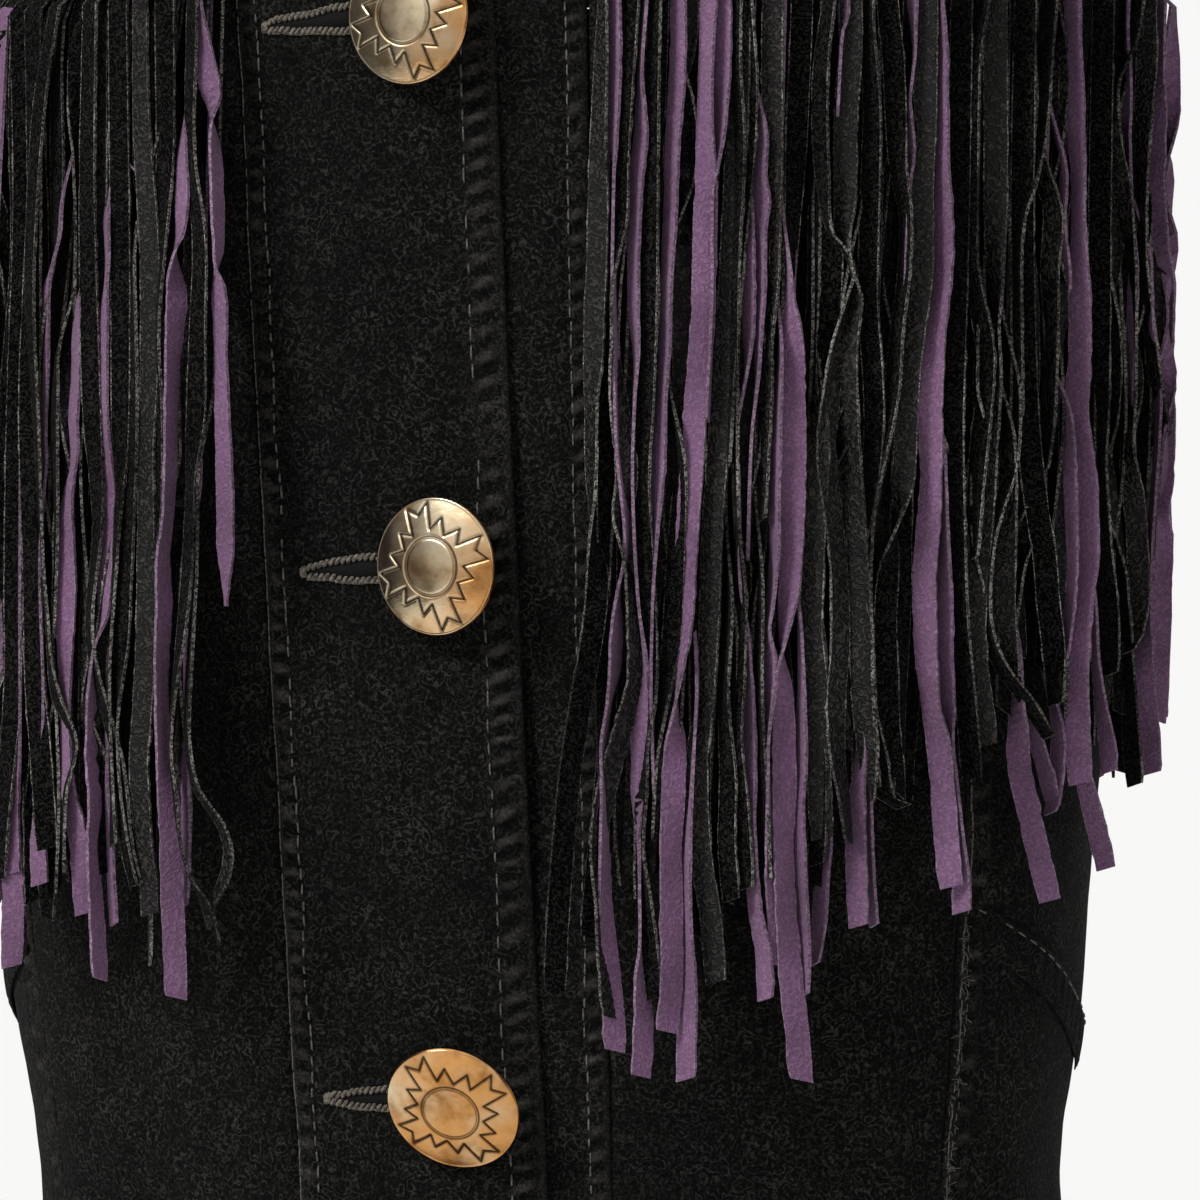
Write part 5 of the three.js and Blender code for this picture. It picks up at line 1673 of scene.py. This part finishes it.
def placed_strand(strip, kind, hang, width, tip, rows, rng):
    """A strand from the list. One that comes out between others starts behind them."""
    rows = np.array(rows, float)
    drop = ROOT_HEIGHT - rows[:, 1]
    first = drop[0]
    table = np.column_stack([drop, rows[:, 0], rows[:, 2]])
    if first > 0.5:
        table = np.vstack([(0, rows[0, 0], rows[0, 2]), table])
    down = np.linspace(0, drop[-1], int(drop[-1] / 2.4) + 2)
    behind = 7.0 * (first > 34) * (1 - ease((down - first + 12) / 30))
    out = mix(strip + STRIP_THICK / 2, hang - behind, ease(down / 7))
    centre = hang_line(read(table, 1, down), down, out)
    facing = np.tile([math.sin(FACE_TURN), -math.cos(FACE_TURN), 0.0], (len(down), 1))
    left = drop[-1] - down
    slant, narrowing, run = TIPS[tip]
    half = STRAND_WIDTH / 2 * width * (1 - narrowing * ease(1 - left / run))
    grain = kind == "G"
    turn = np.radians(read(table, 2, down))
    return sweep(centre, facing, turn, half, slant, 1 - grain, int(grain), rng)


def loose_strand(strip, angle, hang, length, rng):
    """A strand with twists and wander of its own, for the wall behind and the hidden sides."""
    down = np.linspace(0, length, 44)
    share = down / length
    sway = 2.2 * rng.normal() * np.sin(share * math.pi * 0.9)
    sway = sway + 1.1 * rng.normal() * np.sin(share * math.pi * rng.uniform(1.6, 3.4) + rng.uniform(0, 6))
    sway = sway * ease(share * 2.4)
    depth = 1.0 * rng.normal() * np.sin(share * math.pi * 1.6 + 1) * ease(share * 2)
    out = mix(strip + STRIP_THICK / 2, hang + depth, ease(down / 9))
    centre = hang_line(angle + sway / arc_speed(angle, ROOT_HEIGHT), down, np.maximum(out, 1.6))
    t = math.radians(angle)
    away = np.array([math.sin(t) / 1.3, -math.cos(t), 0])
    facing = np.tile(away / np.linalg.norm(away), (len(down), 1))
    turn = 0.7 * rng.normal() * ease(share * 5)
    turn = turn + 0.7 * np.sin(share * rng.uniform(5, 12) + rng.uniform(0, 6)) * ease(share * 5)
    for _ in range(rng.integers(0, 4)):
        way = rng.choice([-1, 1]) * math.pi
        turn = turn + way * ease((share - rng.uniform(0.12, 0.9)) / rng.uniform(0.1, 0.3) + 0.5)
    half = STRAND_WIDTH / 2 * (0.97 + 0.04 * rng.normal()) * (1 - 0.12 * ease((share - 0.97) / 0.03))
    flip = int(rng.random() < 0.3)
    return sweep(centre, facing, turn, half, rng.uniform(-1.6, 1.6), 1 - flip, flip, rng)


def strip_band(start, end, strip):
    angles = np.linspace(start, end, int((end - start) * 1.5))
    angle, height = np.meshgrid(angles, [STRIP_BOTTOM, 413, 416, 419, STRIP_TOP])
    outer, inner = body_point(angle, height, strip + STRIP_THICK), body_point(angle, height, strip)
    rows, wide = outer.shape[:2]
    half = rows * wide
    quads = [grid_quads(rows, wide), grid_quads(rows, wide, False, half)[:, ::-1]]
    edge = np.arange(wide - 1)
    top = edge + (rows - 1) * wide
    side = np.arange(rows - 1) * wide
    quads.append(np.stack([edge, edge + half, edge + half + 1, edge + 1], -1))
    quads.append(np.stack([top + 1, top + half + 1, top + half, top], -1))
    quads.append(np.stack([side, side + wide, side + wide + half, side + half], -1))
    side = side + wide - 1
    quads.append(np.stack([side + wide, side, side + half, side + wide + half], -1))
    quads = np.concatenate(quads)
    return np.concatenate([outer.reshape(-1, 3), inner.reshape(-1, 3)]), quads, np.zeros(len(quads), int)


# Spacing, share of it before the first, and stand-off of the loose strands of each fringe.
# With no stand-off, each strand has one of its own
WALLS = {
    "fringe_purple": {"front_left": [], "back": [(14.0, 0.3, None)], "front_right": [(15.0, 0.4, None)]},
    "fringe_black": {side: [(7.2, 0.25, 5.6), (7.4, 0.7, 9.0)] for side, _, _ in REGIONS},
}

# From this angle on, the purple strands on the right all come from the list
PLACED_FROM = 360 - 43


def make_fringe(colour, region, faces, seed):
    rng = np.random.default_rng(seed)
    strip = STRIPS[colour]
    side, start, end = region
    purple = colour == "fringe_purple"
    front = {"front_left": 1, "front_right": -1}.get(side, 0)
    parts = []
    for kind, hang, width, tip, rows in STRANDS:
        if (kind == "P") == purple and np.sign(rows[0][0]) == front:
            parts.append(placed_strand(strip, kind, hang, width, tip, rows, rng))
    for pitch, part, hang in WALLS[colour][side]:
        for angle in places(start, end, pitch, part):
            if purple and side == "front_right" and angle > PLACED_FROM:
                continue
            reach = float(read(FRINGE_LENGTH, 1, min(angle, 360 - angle))) + rng.uniform(-16, 16)
            parts.append(loose_strand(strip, angle, hang or rng.uniform(8, 12.5), reach + 10 * purple, rng))
    open_start = STRIP_START if side == "front_left" else start
    open_end = 360 - STRIP_START if side == "front_right" else end
    parts.append(strip_band(open_start, open_end, strip))
    base, points, quads, marks = 0, [], [], []
    for part_points, part_quads, part_marks in parts:
        points.append(part_points)
        quads.append(part_quads + base)
        marks.append(part_marks)
        base += len(part_points)
    name = f"{colour}_{side}"
    obj = mesh_object(f"strands_{name}", np.concatenate(points), np.concatenate(quads), faces,
                      faces_of=np.concatenate(marks), smooth=False)
    return link(obj, [name])


def make_fringes():
    kinds = {
        "fringe_purple": [PURPLE, PURPLE, PURPLE_EDGE],
        "fringe_black": [BLACK_GRAIN, BLACK_SUEDE, CUT_EDGE],
    }
    for index, (colour, faces) in enumerate(kinds.items()):
        for number, region in enumerate(REGIONS):
            make_fringe(colour, region, faces, 10 * index + number)


# Studio: pale floor well below the hem, soft light and a white surround
FLOOR_LEVEL = -1150
FLOOR_REACH = 2400

# Light of the surround by height, and from the wearer's right to the left
SKY = [(0.2, (0.16, 0.15, 0.14)), (0.62, (0.72, 0.72, 0.73)), (1.0, (1.0, 1.0, 1.0))]
SIDES = [
    (0.03, (0.10, 0.095, 0.09)),
    (0.12, (0.45, 0.44, 0.43)),
    (0.2, (1.35, 1.33, 1.3)),
    (0.46, (1.0, 1.0, 1.0)),
    (0.95, (0.55, 0.55, 0.55)),
]
SURROUND = 0.44
SURROUND_IN_GLOSS = 0.38

# Name, place in metres, watts and width of each lamp, and the place that they light
LAMPS = [
    ("key", (-1.3, -1.8, 1.3), 44, 0.8),
    ("fill", (1.7, -1.9, 0.1), 4, 1.4),
    ("rear", (0.4, 2.2, 1.3), 20, 1.4),
]
LIT_PLACE = (0, 0, -0.4)


def make_studio():
    ring = np.linspace(0, 2 * math.pi, 97)[:-1]
    radii = np.concatenate([[0.5], np.linspace(20, FLOOR_REACH, 7)])
    t, r = np.meshgrid(ring, radii)
    points = np.stack([r * np.cos(t), r * np.sin(t), FLOOR_LEVEL + 0 * t], -1)
    material, tree, shader = new_material("pale_floor", Roughness=0.9)
    shader.inputs["Base Color"].default_value = (0.86, 0.86, 0.85, 1)
    floor = mesh_object("studio_floor", points.reshape(-1, 3), grid_quads(*t.shape, True), [material])
    bpy.context.scene.collection.objects.link(floor)

    scene = bpy.context.scene
    world = bpy.data.worlds.new("studio")
    scene.world = world
    world.use_nodes = True
    tree = world.node_tree
    back = tree.nodes["Background"]
    back.inputs["Color"].default_value = (0.94, 0.935, 0.93, 1)
    dim = node(tree, "ShaderNodeBackground")
    place = node(tree, "ShaderNodeTexCoord")
    split = node(tree, "ShaderNodeSeparateXYZ")
    tree.links.new(place.outputs["Generated"], split.inputs[0])
    rise = maths(tree, "ADD", maths(tree, "MULTIPLY", split.outputs["Z"], 0.5), 0.5)
    sky = ramp(tree, rise, SKY)
    aside = maths(tree, "ADD", maths(tree, "MULTIPLY", split.outputs["X"], 0.5), 0.5)
    sides = ramp(tree, aside, SIDES)
    tree.links.new(blend(tree, sky, sides, 1.0, "MULTIPLY"), dim.inputs["Color"])
    ray = node(tree, "ShaderNodeLightPath")
    more = maths(tree, "MULTIPLY", ray.outputs["Is Glossy Ray"], SURROUND_IN_GLOSS)
    tree.links.new(maths(tree, "ADD", more, SURROUND), dim.inputs["Strength"])
    both = node(tree, "ShaderNodeMixShader")
    tree.links.new(ray.outputs["Is Camera Ray"], both.inputs[0])
    tree.links.new(dim.outputs[0], both.inputs[1])
    tree.links.new(back.outputs[0], both.inputs[2])
    tree.links.new(both.outputs[0], tree.nodes["World Output"].inputs["Surface"])

    for name, place, power, size in LAMPS:
        light = bpy.data.lights.new(name, "AREA")
        light.energy, light.size = power, size
        lamp = bpy.data.objects.new(name, light)
        lamp.location = place
        aim = Vector(LIT_PLACE) - Vector(place)
        lamp.rotation_euler = aim.to_track_quat("-Z", "Y").to_euler()
        scene.collection.objects.link(lamp)
    scene.view_settings.view_transform = "Standard"


# Camera: turned towards the wearer's left, with the jacket leaning a little in the frame
VIEW_TURN = math.radians(16.13)
VIEW_RISE = math.radians(-1.0)
VIEW_ROLL = math.radians(1.07)
VIEW_FAR = 1800.0
VIEW_ACROSS = 19.8
VIEW_HEIGHT = 238.5
FOCAL_PIXELS = 6223.6
PHOTO_PIXELS = 1200.0
SENSOR = 36.0


def make_camera():
    right = Vector((math.cos(VIEW_TURN), math.sin(VIEW_TURN), 0))
    level = math.cos(VIEW_RISE)
    ahead = Vector((-math.sin(VIEW_TURN) * level, math.cos(VIEW_TURN) * level, -math.sin(VIEW_RISE)))
    up = right.cross(ahead)
    target = right * VIEW_ACROSS + Vector((0, 0, VIEW_HEIGHT - BODY_LENGTH))
    basis = Matrix((right, up, -ahead)).transposed()
    basis = basis @ Matrix.Rotation(-VIEW_ROLL, 3, "Z")
    data = bpy.data.cameras.new("camera")
    data.sensor_width = SENSOR
    data.lens = FOCAL_PIXELS / PHOTO_PIXELS * SENSOR
    data.clip_start, data.clip_end = 0.05, 30
    camera = bpy.data.objects.new("camera", data)
    camera.matrix_world = Matrix.Translation((target - ahead * VIEW_FAR) * MM) @ basis.to_4x4()
    bpy.context.scene.collection.objects.link(camera)
    bpy.context.scene.camera = camera


make_camera()
make_panels()
make_yokes()
make_sleeves()
make_collar()
make_welts()
make_conchos()
make_buttonholes()
make_fringes()
make_studio()
